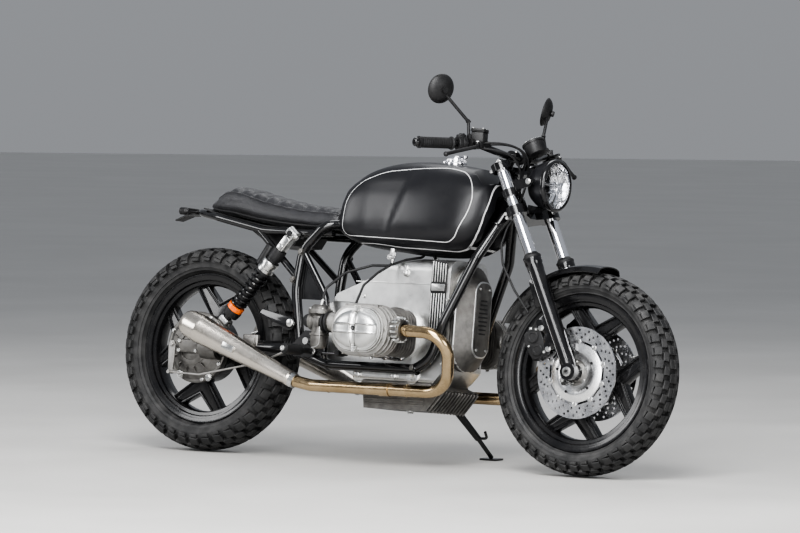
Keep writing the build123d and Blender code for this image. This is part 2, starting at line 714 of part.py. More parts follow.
@cache
def barrel(hand):
    """One finned barrel."""
    x = cylinder_x(hand)
    foot = Vector(x, hand * BARREL_FOOT_Y, CYLINDER_Z)
    top = Vector(x, hand * HEAD_FOOT_Y, CYLINDER_Z)
    body = rod(foot, top, 58)
    span = HEAD_FOOT_Y - BARREL_FOOT_Y
    pitch = span / (BARREL_FINS + 0.5)
    for fin in range(BARREL_FINS):
        y = hand * (BARREL_FOOT_Y + (fin + 0.8) * pitch)
        body += Pos(x, y, CYLINDER_Z) * Rot(X=90) * extrude(BARREL_FIN, 2.2, both=True)
    return body


@cache
def head(hand):
    """One finned cylinder head with its exhaust port in front and its inlet port behind."""
    x = cylinder_x(hand)
    foot = Vector(x, hand * HEAD_FOOT_Y, CYLINDER_Z)
    top = Vector(x, hand * ROCKER_FOOT_Y, CYLINDER_Z)
    body = rod(foot, top, 66)
    pitch = (ROCKER_FOOT_Y - HEAD_FOOT_Y) / HEAD_FINS
    for fin in range(HEAD_FINS):
        y = hand * (HEAD_FOOT_Y + (fin + 0.6) * pitch)
        body += Pos(x, y, CYLINDER_Z) * Rot(X=90) * extrude(HEAD_FIN, 3, both=True)
    middle = hand * PORT_Y
    body += rod((x, middle, CYLINDER_Z + 6), (x + PORT_AHEAD - 20, middle, CYLINDER_Z + 6), 30)
    body += rod((x, middle, CYLINDER_Z + 20), (x - INLET_BEHIND, middle, CYLINDER_Z + 20), 26)
    return body


ROCKER_LENGTH = 172.0
ROCKER_HEIGHT = 132.0


@cache
def rocker_cover(hand):
    """One rocker cover: a crowned oval with two ribs and a valley between its halves."""
    x = cylinder_x(hand)
    deep = ENGINE_HALF_WIDTH - ROCKER_FOOT_Y
    face = Plane((x, hand * ROCKER_FOOT_Y, CYLINDER_Z), x_dir=(1, 0, 0), z_dir=(0, hand, 0))
    flange = extrude(face * RectangleRounded(ROCKER_LENGTH + 8, ROCKER_HEIGHT + 6, 62), 8)
    dome = extrude(face * RectangleRounded(ROCKER_LENGTH, ROCKER_HEIGHT, 60), deep - 4, taper=20)
    for rise in (-11, 16):
        dome += face * Pos(0, rise, deep / 2) * Box(ROCKER_LENGTH * 0.72, 4, deep)
    valley = face * Pos(6, 0, deep + 2) * Box(14, ROCKER_HEIGHT, 14)
    nut = face * Pos(6, 2, deep - 12) * Cylinder(8, 14)
    return flange + (dome - valley) + nut


@cache
def carburettor(hand):
    """One carburettor with its bowl, dome and ribbed inlet sleeve."""
    y = hand * PORT_Y
    x = cylinder_x(hand) - INLET_BEHIND
    z = CYLINDER_Z + 20
    body = turned((x, y, z), (-1, 0, 0), [(0, 30), (16, 30), (16, 24), (70, 24), (70, 28), (76, 28)])
    body += turned((x - 44, y, z - 86), (0, 0, 1), [(0, 22), (6, 27), (44, 27), (44, 31), (50, 31),
                                                    (50, 26), (108, 26), (112, 38), (126, 38), (136, 30)])
    inner = Vector(600, hand * 93, 440)
    sleeve = pipe([(x - 74, y, z), (x - 100, y, z), (inner.X, hand * 190, 436), inner], 46, [20, 40])
    return body + sleeve - engine_case() - gearbox()


def pair(maker):
    """A right and a left piece of one kind."""
    return maker(RIGHT) + maker(LEFT)


# Exhaust

HEADER_LOW_Y = 172.0
HEADER_LOW_Z = 226.0
HEADER_REACH = 184.0
HEADER_BENDS = (70, 110, 60)
MUFFLER_START = Vector(470, -178, 236)
MUFFLER_END = Vector(38, -204, 408)


def header_route(hand):
    """The header's centre line from the port to the muffler."""
    x = cylinder_x(hand) + PORT_AHEAD
    low_y = hand * HEADER_LOW_Y
    start = MUFFLER_START
    return [(x - 22, hand * PORT_Y, CYLINDER_Z + 6), (x + HEADER_REACH, hand * (PORT_Y - 6), CYLINDER_Z),
            (x + HEADER_REACH - 68, low_y, HEADER_LOW_Z), (start.X + 60, low_y, HEADER_LOW_Z),
            (start.X, hand * abs(start.Y), start.Z)]


@cache
def exhaust_header(hand):
    """One header pipe with its finned nut at the head."""
    pipe_body = pipe(header_route(hand), HEADER_DIAMETER, HEADER_BENDS)
    x = cylinder_x(hand) + PORT_AHEAD
    nut = turned((x - 20, hand * PORT_Y, CYLINDER_Z + 6), (1, 0, 0), [(0, 40), (26, 40), (34, 30)])
    for count in range(12):
        spin = Rot(X=count * 30)
        nut -= Pos(x, hand * PORT_Y, CYLINDER_Z + 6) * spin * Pos(Z=40) * Box(80, 6, 14)
    return pipe_body + nut - head(hand)


@cache
def muffler(hand):
    """One reverse-cone muffler, open at its wide rear end."""
    start = Vector(MUFFLER_START.X, hand * abs(MUFFLER_START.Y), MUFFLER_START.Z)
    end = Vector(MUFFLER_END.X, hand * abs(MUFFLER_END.Y), MUFFLER_END.Z)
    run = end - start
    length = run.length
    shell = turned(start, run, [(0, 21), (20, 24), (length - 70, 46), (length - 18, 44), (length, 34)])
    mouth = turned(start + run.normalized() * (length - 60), run, [(0, 24), (61, 24)])
    return shell - mouth - exhaust_header(hand)


# Tank, seat and tail

# Sections: x, bottom, top, half width low, half width high, low corner radius, high corner radius
TANK_STATIONS = (
    (530, 722, 800, 96, 84, 22, 30),
    (580, 692, 893, 126, 100, 30, 50),
    (690, 668, 944, 142, 112, 34, 62),
    (840, 654, 956, 160, 128, 36, 70),
    (990, 664, 944, 158, 126, 36, 66),
    (1066, 716, 926, 118, 98, 34, 56),
    (1102, 780, 880, 78, 66, 26, 34),
)
# Sections: x, bottom, top, half width low, half width high, low corner radius, high corner radius
SEAT_STATIONS = (
    (-16, 784, 802, 70, 60, 6, 8),
    (24, 774, 832, 92, 76, 8, 20),
    (66, 766, 860, 104, 84, 8, 30),
    (110, 757, 862, 110, 90, 8, 32),
    (230, 736, 834, 116, 98, 8, 32),
    (380, 724, 810, 116, 100, 8, 30),
    (526, 722, 804, 98, 86, 8, 28),
)


TAP = Vector(770, 120, 636)
FILLER = Vector(904, 0, 952)
FILLER_RADIUS = 34.0
FILLER_DEPTH = 6.0
# The room that the upper yoke sweeps through at full lock: its reach, how far behind the
# steering axis it comes, and how far up the fork it starts
YOKE_SWEEP_RADIUS = 142.0
YOKE_SWEEP_BEHIND = 52.0
YOKE_SWEEP_FOOT = 677.0


@cache
def fuel_tank():
    """The fuel tank, with a tunnel for the frame's backbone."""
    body = lofted(TANK_STATIONS)
    tunnel = side_plate([(480, 600), (480, 790), (1000, 870), (1160, 915), (1160, 600)], -48, 48)
    head_room = rod(on_fork(480, -FORK_OFFSET), on_fork(760, -FORK_OFFSET), 44)
    swept = Circle(YOKE_SWEEP_RADIUS) & (Pos(YOKE_SWEEP_RADIUS - YOKE_SWEEP_BEHIND, 0)
                                         * Rectangle(2 * YOKE_SWEEP_RADIUS, 2 * YOKE_SWEEP_RADIUS))
    yoke_room = fork_plane(YOKE_SWEEP_FOOT, -FORK_OFFSET) * extrude(swept, 90)
    neck = rod(FILLER - Vector(0, 0, FILLER_DEPTH), FILLER + Vector(0, 0, 30), FILLER_RADIUS)
    taps = []
    for hand in SIDES:
        foot = Vector(TAP.X, hand * TAP.Y, TAP.Z)
        taps.append(rod(foot + Vector(0, 0, 34), foot, 7))
    return body - tunnel - head_room - yoke_room - neck - main_frame() + taps


@cache
def filler_cap():
    """The bright hinged filler cap on top of the tank."""
    return turned(FILLER, (0, 0, 1), [
        (-FILLER_DEPTH, FILLER_RADIUS), (8, FILLER_RADIUS), (8, 30), (20, 28), (24, 12), (30, 12)])


@cache
def seat():
    """The low flat seat, kicked up at the tail."""
    return lofted(SEAT_STATIONS) - fuel_tank() - rear_subframe() - main_frame()


@cache
def seat_pan():
    """The thin pan under the seat."""
    pan = side_plate([(-10, 783), (24, 773), (110, 756), (230, 735), (380, 723), (500, 721), (500, 717),
                      (380, 719), (230, 731), (110, 752), (24, 769), (-10, 779)], -92, 92)
    return pan - rear_subframe() - main_frame() - seat()


@cache
def side_panels():
    """The black triangular panel on the right, between the upright and the brace."""
    return side_plate([(430, 640), (418, 500), (528, 500)], -UPRIGHT_Y + 6, -UPRIGHT_Y + 10) - main_frame()


BATTERY_HALF = 76.0


@cache
def battery_box():
    """The battery's box, hung under the seat from the subframe's cross tube."""
    box = side_plate([(176, 718), (262, 666), (352, 672), (374, 706), (288, 708), (244, 718)],
                     -BATTERY_HALF, BATTERY_HALF)
    return box - rear_subframe() - seat_pan()


@cache
def tail_bracket():
    """The plate hanger behind the seat, with the blank plate and both indicators."""
    hanger = side_plate([(-60, 764), (-128, 760), (-176, 742), (-176, 746), (-128, 766), (-60, 786)],
                        -22, 22)
    stalks = rod((-88, -82, 770), (-88, 82, 770), 4)
    lamps = []
    for hand in SIDES:
        lamps.append(turned((-88, hand * 92, 770), (1, 0, 0), [(-16, 8), (-12, 12), (8, 12), (18, 5)]))
    return hanger + stalks + lamps - rear_subframe()


@cache
def tail_lamp():
    """The small rear lamp."""
    return Pos(-132, 0, 776) * Box(24, 74, 20) - tail_bracket()


# Rear suspension and footrests

DRIVE_Y = -98.0


@cache
def swingarm():
    """The single arm on the right with the drive shaft in it, and its pivot."""
    arm = pipe([(446, -72, 350), (388, -90, 342), (330, DRIVE_Y, 337), (104, DRIVE_Y, 330)], 54, [70, 120])
    pivot = rod((400, -60, 340), (400, 40, 340), 24)
    return arm + pivot - gearbox() - main_frame()


@cache
def final_drive():
    """The bevel drive's round case beside the hub, with its brake arm."""
    case = turned((0, REAR_HUB_OUTER_Y - 5, REAR_TYRE_RADIUS), (0, -1, 0), [
        (0, 98), (8, 114), (30, 114), (52, 86), (58, 60), (64, 30)])
    nose = rod((104, DRIVE_Y, REAR_TYRE_RADIUS), (40, DRIVE_Y, REAR_TYRE_RADIUS), 38)
    stub = rod((0, REAR_HUB_OUTER_Y - 6, REAR_TYRE_RADIUS), (0, 52, REAR_TYRE_RADIUS), REAR_AXLE_RADIUS)
    lug = rod((SHOCK_FOOT.X - 40, -96, SHOCK_FOOT.Z - 50), SHOCK_FOOT, 15)
    return case + nose + stub + lug - swingarm()


# The coil spring: how far it starts from the top eye and ends from the bottom eye
SPRING_START = 166.0
SPRING_FOOT = 52.0
SPRING_CORE = 18.0
SPRING_RADIUS = 28.0
SPRING_TURNS = 8
SPRING_CLEARANCE = 0.5


@cache
def shock_absorber():
    """The single shock absorber: top eye, reservoir, body, collar and adjuster."""
    run = SHOCK_FOOT - SHOCK_TOP
    length = run.length
    spring_end = length - SPRING_FOOT
    body = turned(SHOCK_TOP, run, [
        (-16, 18), (14, 18), (14, 24), (70, 24), (70, 18), (SPRING_START - 36, 18),
        (SPRING_START - 36, 27), (SPRING_START, 30), (SPRING_START, SPRING_CORE), (spring_end, SPRING_CORE),
        (spring_end, 29), (spring_end + 24, 29), (spring_end + 24, 12), (length - 14, 12)])
    return body - rear_subframe() - final_drive()


@cache
def shock_spring():
    """The coil spring, its turns drawn as rings on the body."""
    run = (SHOCK_FOOT - SHOCK_TOP).normalized()
    length = (SHOCK_FOOT - SHOCK_TOP).length
    start = SPRING_START + SPRING_CLEARANCE
    end = length - SPRING_FOOT - SPRING_CLEARANCE
    core = SPRING_CORE + SPRING_CLEARANCE
    pitch = (end - start) / SPRING_TURNS
    outline = [(start, core + 1)]
    for turn in range(SPRING_TURNS):
        low = start + turn * pitch
        outline += [(low + 0.2 * pitch, SPRING_RADIUS), (low + 0.55 * pitch, SPRING_RADIUS),
                    (low + 0.75 * pitch, core + 3)]
    outline.append((end, core + 3))
    ring = turned(SHOCK_TOP, run, outline)
    return ring - rod(SHOCK_TOP, SHOCK_FOOT, core)


@cache
def footrests():
    """A footrest on each side, on its bracket from the frame."""
    bracket = side_plate([(420, 350), (470, 400), (500, 400), (520, 330), (500, 316), (430, 316)],
                         -UPRIGHT_Y - 26, -UPRIGHT_Y - 18)
    arm = rod((500, -UPRIGHT_Y - 18, 334), (500, -200, 334), 9)
    rubber = turned((500, -200, 334), (0, -1, 0), [(0, 13), (4, 16), (92, 16), (96, 13)])
    spacer = rod((440, -UPRIGHT_Y, 332), (440, -UPRIGHT_Y - 20, 332), 10)
    return both_sides(bracket + arm + rubber + spacer - main_frame())


@cache
def foot_levers():
    """The brake pedal on the right and the gear lever on the left."""
    pedal = pipe([(486, -156, 366), (560, -160, 330), (660, -168, 330), (664, -200, 330)], 11, [30, 14])
    lever = pipe([(486, 156, 366), (560, 160, 330), (650, 168, 330), (654, 206, 330)], 11, [30, 14])
    return pedal + lever


# Held hoses and leads

COIL_REAR = 856.0
COIL_LENGTH = 84.0
COIL_Y = 23.0
COIL_Z = 706.0
FUEL_HOSE = 8.0
PLUG_LEAD = 8.0


def fuel_hoses():
    """The hose from the tank's tap to each carburettor."""
    pieces = []
    for hand in SIDES:
        back = cylinder_x(hand) - CYLINDER_X
        route = [(TAP.X, hand * TAP.Y, TAP.Z), (TAP.X, hand * TAP.Y, TAP.Z - 18),
                 (728 + back / 2, hand * 166, 614), (668 + back, hand * 226, 584),
                 (638 + back, hand * 282, 530), (632 + back, hand * 292, 474)]
        pieces.append(pipe(route, FUEL_HOSE, [14, 28, 28, 28]))
    return pieces[0] + pieces[1] - pair(carburettor)


@cache
def plug_leads():
    """The lead from under the tank to each spark plug."""
    pieces = []
    for hand in SIDES:
        back = cylinder_x(hand) - CYLINDER_X
        route = [(COIL_REAR, hand * COIL_Y, COIL_Z), (COIL_REAR - 20, hand * COIL_Y, COIL_Z - 6),
                 (828, hand * 32, 654), (800, hand * 84, 641), (782, hand * 140, 620),
                 (772 + back, hand * 196, 590), (760 + back, hand * 252, 546), (762 + back, hand * 292, 480)]
        pieces.append(pipe(route, PLUG_LEAD, [12, 20, 30, 30, 30, 32]))
    return pieces[0] + pieces[1] - pair(head) - ignition_coils()


@cache
def ignition_coils():
    """The two ignition coils in the tank's tunnel, hung from the backbone."""
    coil = rod((COIL_REAR, -COIL_Y, COIL_Z), (COIL_REAR + COIL_LENGTH, -COIL_Y, COIL_Z), 20)
    hanger = side_plate([(880, 700), (880, 810), (920, 818), (920, 700)], -4, 4)
    return both_sides(coil) + hanger - main_frame()


# Side stand

STAND_PIVOT = Vector(858, 126, 214)
STAND_FOOT = Vector(900, 330, 43)
STAND_KNEE = Vector(888, 262, 100)
STAND_FOLDED = Vector(-0.98, 0.1, -0.17)
STAND_AXIS = (STAND_FOOT - STAND_PIVOT).cross(STAND_FOLDED).normalized()
STAND_EYE_HALF = 7.0
STAND_EYE_RADIUS = 17.0
STAND_LUG_THICKNESS = 12.0
STAND_PIN_RADIUS = 7.0
STAND_LEG_DIAMETER = 21.0
STAND_TOE_DIAMETER = 14.0
PAD_THICKNESS = 6.0
PIN_CLEARANCE = 0.5


@cache
def side_stand():
    """The side stand, swung out: leg, thin toe, foot pad, pin and the tang for the rider's boot."""
    low = -STAND_AXIS * STAND_EYE_HALF
    eye = rod(STAND_PIVOT + low, STAND_PIVOT - low, STAND_EYE_RADIUS)
    pin = rod(STAND_PIVOT + low * 1.8, STAND_PIVOT + STAND_AXIS * 30, STAND_PIN_RADIUS)
    leg = rod(STAND_PIVOT, STAND_KNEE, STAND_LEG_DIAMETER / 2)
    leg += rod(STAND_PIVOT + low, STAND_KNEE, STAND_LEG_DIAMETER / 2)
    leg += rod(STAND_KNEE, STAND_FOOT, STAND_TOE_DIAMETER / 2)
    leg -= rod(STAND_PIVOT - low, STAND_PIVOT - low + STAND_AXIS * 40, 40)
    sink = CROWN_SHARE * (FRONT_TYRE_WIDTH + REAR_TYRE_WIDTH) / 2 * tan(radians(LEAN))
    ground = STAND_FOOT.Y * tan(radians(LEAN)) - sink
    pad = Pos(STAND_FOOT.X, STAND_FOOT.Y, ground + PAD_THICKNESS / 2) * Rot(X=LEAN)
    ahead = -STAND_FOLDED
    down = (STAND_FOOT - STAND_PIVOT).normalized()
    tang = pipe([STAND_KNEE, STAND_KNEE + ahead * 34 + down * 6, STAND_KNEE + ahead * 44 - down * 22],
                9, 12)
    return leg + eye + pin + pad * Box(62, 44, PAD_THICKNESS) + tang


NODES = {
    "main_frame": main_frame, "rear_subframe": rear_subframe, "engine_case": engine_case,
    "top_cover": top_cover, "front_cover": front_cover, "oil_sump": oil_sump, "gearbox": gearbox,
    "barrels": lambda: pair(barrel), "cylinder_heads": lambda: pair(head),
    "rocker_covers": lambda: pair(rocker_cover), "carburettors": lambda: pair(carburettor),
    "exhaust_headers": lambda: pair(exhaust_header), "mufflers": lambda: pair(muffler),
    "fuel_tank": fuel_tank, "filler_cap": filler_cap, "seat": seat, "seat_pan": seat_pan,
    "side_panels": side_panels, "battery_box": battery_box, "tail_bracket": tail_bracket,
    "tail_lamp": tail_lamp, "swingarm": swingarm, "final_drive": final_drive,
    "shock_absorber": shock_absorber, "shock_spring": shock_spring, "footrests": footrests,
    "foot_levers": foot_levers, "ignition_coils": ignition_coils, "fuel_hoses": fuel_hoses,
    "plug_leads": plug_leads,
    "upper_yoke": upper_yoke, "lower_yoke": lower_yoke, "fork_tubes": fork_tubes,
    "fork_sliders": fork_sliders, "front_axle": front_axle, "front_mudguard": front_mudguard,
    "headlight_shell": headlight_shell, "headlight_reflector": headlight_reflector,
    "headlight_lens": headlight_lens, "headlight_bracket": headlight_bracket,
    "handlebar": handlebar, "grips": grips, "bar_controls": bar_controls, "mirrors": mirrors,
    "speedometer": speedometer, "brake_callipers": brake_callipers, "brake_hoses": brake_hoses,
    "front_wheel": front_wheel, "front_tyre": lambda: Pos(FRONT_AXLE) * tyre(FRONT_LUGS),
    "brake_discs": brake_discs, "rear_wheel": rear_wheel,
    "rear_tyre": lambda: Pos(REAR_AXLE) * tyre(REAR_LUGS), "side_stand": side_stand,
}


def build():
    """All nodes, leaned and moved to the part's origin."""
    leaned = {name: Rot(X=-LEAN) * maker() for name, maker in NODES.items()}
    boxes = [shape.bounding_box() for shape in leaned.values()]
    low = [min(getattr(box.min, axis) for box in boxes) for axis in "XYZ"]
    high = [max(getattr(box.max, axis) for box in boxes) for axis in "XYZ"]
    shift = Pos(-(low[0] + high[0]) / 2, -(low[1] + high[1]) / 2, -low[2])
    return {name: shift * shape for name, shape in leaned.items()}, shift


if __name__ == "__main__":
    os.makedirs("parts", exist_ok=True)
    nodes, shift = build()
    print("shift", shift.position)
    for name, shape in nodes.items():
        export_step(shape, f"parts/{name}.step")
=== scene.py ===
"""The looks of a scrambler motorcycle: finishes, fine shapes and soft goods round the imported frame.

Every sub-assembly is drawn on the upright machine, in millimetres: X forward with 0 at the rear
axle, Y to the rider's left and Z up with 0 at the ground. Machine.to_row leans it onto its stand
and takes it into the row frame, in metres.
"""

import json
import logging
import math
import sys
from dataclasses import dataclass
from enum import Enum
from functools import lru_cache
from typing import Callable, Iterable, Sequence

import bmesh
import bpy
from mathutils import Matrix, Vector
from mathutils.bvhtree import BVHTree

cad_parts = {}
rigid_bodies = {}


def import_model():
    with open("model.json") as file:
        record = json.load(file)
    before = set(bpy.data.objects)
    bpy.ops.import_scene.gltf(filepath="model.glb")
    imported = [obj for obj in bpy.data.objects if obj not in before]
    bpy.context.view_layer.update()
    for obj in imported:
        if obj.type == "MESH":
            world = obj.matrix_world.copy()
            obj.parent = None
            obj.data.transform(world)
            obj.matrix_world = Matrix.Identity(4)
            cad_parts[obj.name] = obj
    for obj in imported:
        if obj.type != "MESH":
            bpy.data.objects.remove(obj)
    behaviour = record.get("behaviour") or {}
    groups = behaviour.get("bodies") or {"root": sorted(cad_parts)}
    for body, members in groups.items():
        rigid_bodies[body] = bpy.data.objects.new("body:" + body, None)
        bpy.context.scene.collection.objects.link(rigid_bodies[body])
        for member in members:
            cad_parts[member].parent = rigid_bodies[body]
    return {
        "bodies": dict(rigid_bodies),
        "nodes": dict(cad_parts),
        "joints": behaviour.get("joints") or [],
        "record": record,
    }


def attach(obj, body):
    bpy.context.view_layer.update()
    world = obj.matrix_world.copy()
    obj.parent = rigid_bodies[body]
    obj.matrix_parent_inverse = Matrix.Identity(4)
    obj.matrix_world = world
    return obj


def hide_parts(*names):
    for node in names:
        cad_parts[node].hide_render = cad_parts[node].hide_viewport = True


LOG = logging.getLogger("scrambler")

Pairs = Sequence[tuple[float, float]]
Point = Sequence[float]
Colour = tuple[float, float, float]

TURN = math.tau
MM = 0.001
LEAN = math.radians(6.5)
RAKE = math.radians(26.5)
WHEELBASE = 1450.0
FRONT_AXLE = Vector((WHEELBASE, 0.0, 316.0))
REAR_AXLE = Vector((0.0, 0.0, 330.0))
FORK_UP = Vector((-math.sin(RAKE), 0.0, math.cos(RAKE)))
FORK_AHEAD = Vector((math.cos(RAKE), 0.0, math.sin(RAKE)))
FORK_OFFSET = 44.0
FORK_Y = 95.0
# How much further forward the left cylinder stands
CYLINDER_STEP = 39.0
# A face whose normal has more than this along an axis looks along it
FACING = 0.9
MERGE = 0.004
FLIP = Matrix.Scale(-1.0, 4, (0.0, 1.0, 0.0))
# A flat form's X goes forward, its Y goes up and its thickness goes to the right
SIDE = Matrix(((1, 0, 0, 0), (0, 0, -1, 0), (0, 1, 0, 0), (0, 0, 0, 1)))


class Hand(Enum):
    """The rider's right or left, as the sign of Y."""

    RIGHT = -1
    LEFT = 1


class Body(Enum):
    """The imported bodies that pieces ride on; the side stand carries none."""

    CHASSIS = "chassis"
    STEERING = "steering"
    FRONT_WHEEL = "front_wheel"
    REAR_WHEEL = "rear_wheel"


# Places


def at(origin: Point, axis: Point = (0.0, 0.0, 1.0), turn: float = 0.0) -> Matrix:
    """Give a place by its origin and the axis its Z points along.

    Args:
        origin: Where the form's own origin goes.
        axis: The direction its Z takes.
        turn: A turn about that axis, in radians.

    Returns:
        The place as a matrix.
    """
    aim = Vector(axis).to_track_quat("Z", "Y").to_matrix().to_4x4()
    return Matrix.Translation(Vector(origin)) @ aim @ Matrix.Rotation(turn, 4, "Z")


def move(x: float, y: float, z: float) -> Matrix:
    """Give the place that shifts by three lengths and turns nothing."""
    return Matrix.Translation((x, y, z))


def outward(hand: int, x: float = 0, y: float = 0, z: float = 0) -> Matrix:
    """Give a place whose Z points out to one side, y counted out on that side."""
    return at((x, hand * y, z), (0, hand, 0))


def linked(name: str, data: bpy.types.ID) -> bpy.types.Object:
    """Put a new object of some data into the scene."""
    made = bpy.data.objects.new(name, data)
    bpy.context.scene.collection.objects.link(made)
    return made


def side(y: float, x: float = 0.0, z: float = 0.0) -> Matrix:
    """Give the place of a flat form seen from the right, its thickness outwards."""
    return move(x, y, z) @ SIDE


def on_fork(along: float, ahead: float = 0.0, y: float = 0.0) -> Vector:
    """Give a point along a fork leg, counted up from the front axle."""
    return FRONT_AXLE + FORK_UP * along + FORK_AHEAD * ahead + Vector((0.0, y, 0.0))


def fork_place(along: float, ahead: float = 0.0, y: float = 0.0) -> Matrix:
    """Give a place on the fork: X ahead, Y left and Z up the legs."""
    turn = Matrix.Rotation(-RAKE, 4, "Y")
    return Matrix.Translation(on_fork(along, ahead, y)) @ turn


def ring_of(places: int, radius: float = 0.0, start: float = 0.0) -> list[Matrix]:
    """Give places round the Z axis, each moved out along its own X.

    Args:
        places: How many there are.
        radius: How far out each one is.
        start: The first one's angle, in radians.

    Returns:
        One matrix for each place.
    """
    out = move(radius, 0.0, 0.0)
    return [Matrix.Rotation(start + TURN * step / places, 4, "Z") @ out for step in range(places)]


def held(value: float) -> float:
    """Hold a value between zero and one."""
    return min(1.0, max(0.0, value))


# Forms


class Form:
    """A mesh in the making."""

    def __init__(self) -> None:
        """Start with nothing."""
        self.mesh = bmesh.new()

    def add(self, other: "Form", *places: Matrix) -> "Form":
        """Add a copy of another form at each place, turned right side out where it is mirrored.

        Args:
            other: The form to copy.
            places: Where the copies go; its own place if there are none.

        Returns:
            This form.
        """
        for place in places or (Matrix(),):
            data = bpy.data.meshes.new("copy")
            other.mesh.to_mesh(data)
            data.transform(place)
            if place.determinant() < 0:
                data.flip_normals()
            self.mesh.from_mesh(data)
            bpy.data.meshes.remove(data)
        return self

    def both(self, place: Matrix = Matrix()) -> "Form":
        """Give a new form: this one at a place, and its mirror image on the other side."""
        return Form().add(self, place, FLIP @ place)

    def moved(self, place: Matrix) -> "Form":
        """Move the whole form to a place and return it."""
        bmesh.ops.transform(self.mesh, matrix=place, verts=self.mesh.verts)
        return self

    def tint(self, index: int) -> "Form":
        """Give every face the finish of that index and return the form."""
        for face in self.mesh.faces:
            face.material_index = index
        return self

    def rounded(self, width: float, segments: int = 2, angle: float = 30.0) -> "Form":
        """Round every edge sharper than an angle.

        Args:
            width: How far the rounding reaches on each side.
            segments: How many facets it has.
            angle: The least angle between two faces that counts as sharp, in degrees.

        Returns:
            This form.
        """
        limit = math.radians(angle)
        sharp = [edge for edge in self.mesh.edges if edge.calc_face_angle(0.0) > limit]
        if width and sharp:
            bmesh.ops.bevel(self.mesh, geom=sharp, offset=width, offset_type="OFFSET", segments=segments,
                profile=0.5, affect="EDGES", material=-1, clamp_overlap=True)
        return self

    def tidy(self) -> "Form":
        """Merge doubles, point the faces outwards and return the form."""
        bmesh.ops.remove_doubles(self.mesh, verts=self.mesh.verts, dist=MERGE)
        bmesh.ops.recalc_face_normals(self.mesh, faces=self.mesh.faces)
        return self

    def shaped(self, rule: Callable[[Vector], Vector]) -> "Form":
        """Move every vertex to where a rule sends it and return the form."""
        for vertex in self.mesh.verts:
            vertex.co = rule(vertex.co)
        return self

    def tree(self) -> BVHTree:
        """Give the surface as a tree that rays can hit."""
        return BVHTree.FromBMesh(self.mesh)


def turned(outline: Pairs, steps: int = 40, sweep: float = TURN, shut: bool = False) -> Form:
    """Turn an outline about the Z axis.

    Args:
        outline: Points as (along the axis, radius).
        steps: Facets round the sweep.
        sweep: How far it is turned, in radians.
        shut: Whether the last point joins the first, as in a ring.

    Returns:
        The turned form.
    """
    form = Form()
    verts = [form.mesh.verts.new((radius, 0.0, along)) for along, radius in outline]
    edges = [form.mesh.edges.new(ends) for ends in zip(verts, verts[1:])]
    if shut:
        edges.append(form.mesh.edges.new((verts[-1], verts[0])))
    bmesh.ops.spin(form.mesh, geom=verts + edges, cent=(0, 0, 0), axis=(0, 0, 1), angle=sweep, steps=steps,
        use_merge=abs(sweep) >= TURN)
    return form.tidy()


def rod(radius: float, start: float, end: float, steps: int) -> Form:
    """Turn a plain rod along Z from start to end."""
    return turned([(start, 0), (start, radius), (end, radius), (end, 0)], steps)


def sleeve(inner: float, outer: float, start: float, end: float, steps: int) -> Form:
    """Turn a plain ring round Z from start to end."""
    return turned([(start, inner), (start, outer), (end, outer), (end, inner)], steps, shut=True)


def block(size: Point, edge: float = 0.0, segments: int = 2) -> Form:
    """Make a block about its own middle, its edges rounded."""
    form = Form()
    bmesh.ops.create_cube(form.mesh, size=1.0, matrix=Matrix.Diagonal((*size, 1.0)))
    return form.rounded(edge, segments)


def plate(outline: Pairs, thickness: float, edge: float = 0.0, corner: float = 0.0,
        segments: int = 2) -> Form:
    """Make a flat form from an outline in XY, its thickness up from Z zero.

    Args:
        outline: The corners, anticlockwise.
        thickness: How thick it is.
        edge: How far its rims are rounded.
        corner: How far its corners are rounded in the flat.
        segments: Facets across each rounded rim.

    Returns:
        The plate.
    """
    form = Form()
    face = form.mesh.faces.new([form.mesh.verts.new((x, y, 0.0)) for x, y in outline])
    if corner:
        bmesh.ops.bevel(form.mesh, geom=list(form.mesh.verts), offset=corner, segments=6, profile=0.5,
            affect="VERTICES", material=-1, clamp_overlap=True)
        face = next(iter(form.mesh.faces))
    top = bmesh.ops.extrude_face_region(form.mesh, geom=[face])["geom"]
    lifted = [item for item in top if isinstance(item, bmesh.types.BMVert)]
    bmesh.ops.translate(form.mesh, vec=(0.0, 0.0, thickness), verts=lifted)
    bmesh.ops.recalc_face_normals(form.mesh, faces=form.mesh.faces)
    return form.rounded(edge, segments, 50.0)


def oval(length: float, height: float, thickness: float, corner: float, edge: float = 0.0) -> Form:
    """Make a plate that is a rectangle with rounded corners."""
    x, y = length / 2, height / 2
    return plate([(-x, -y), (x, -y), (x, y), (-x, y)], thickness, edge, corner)


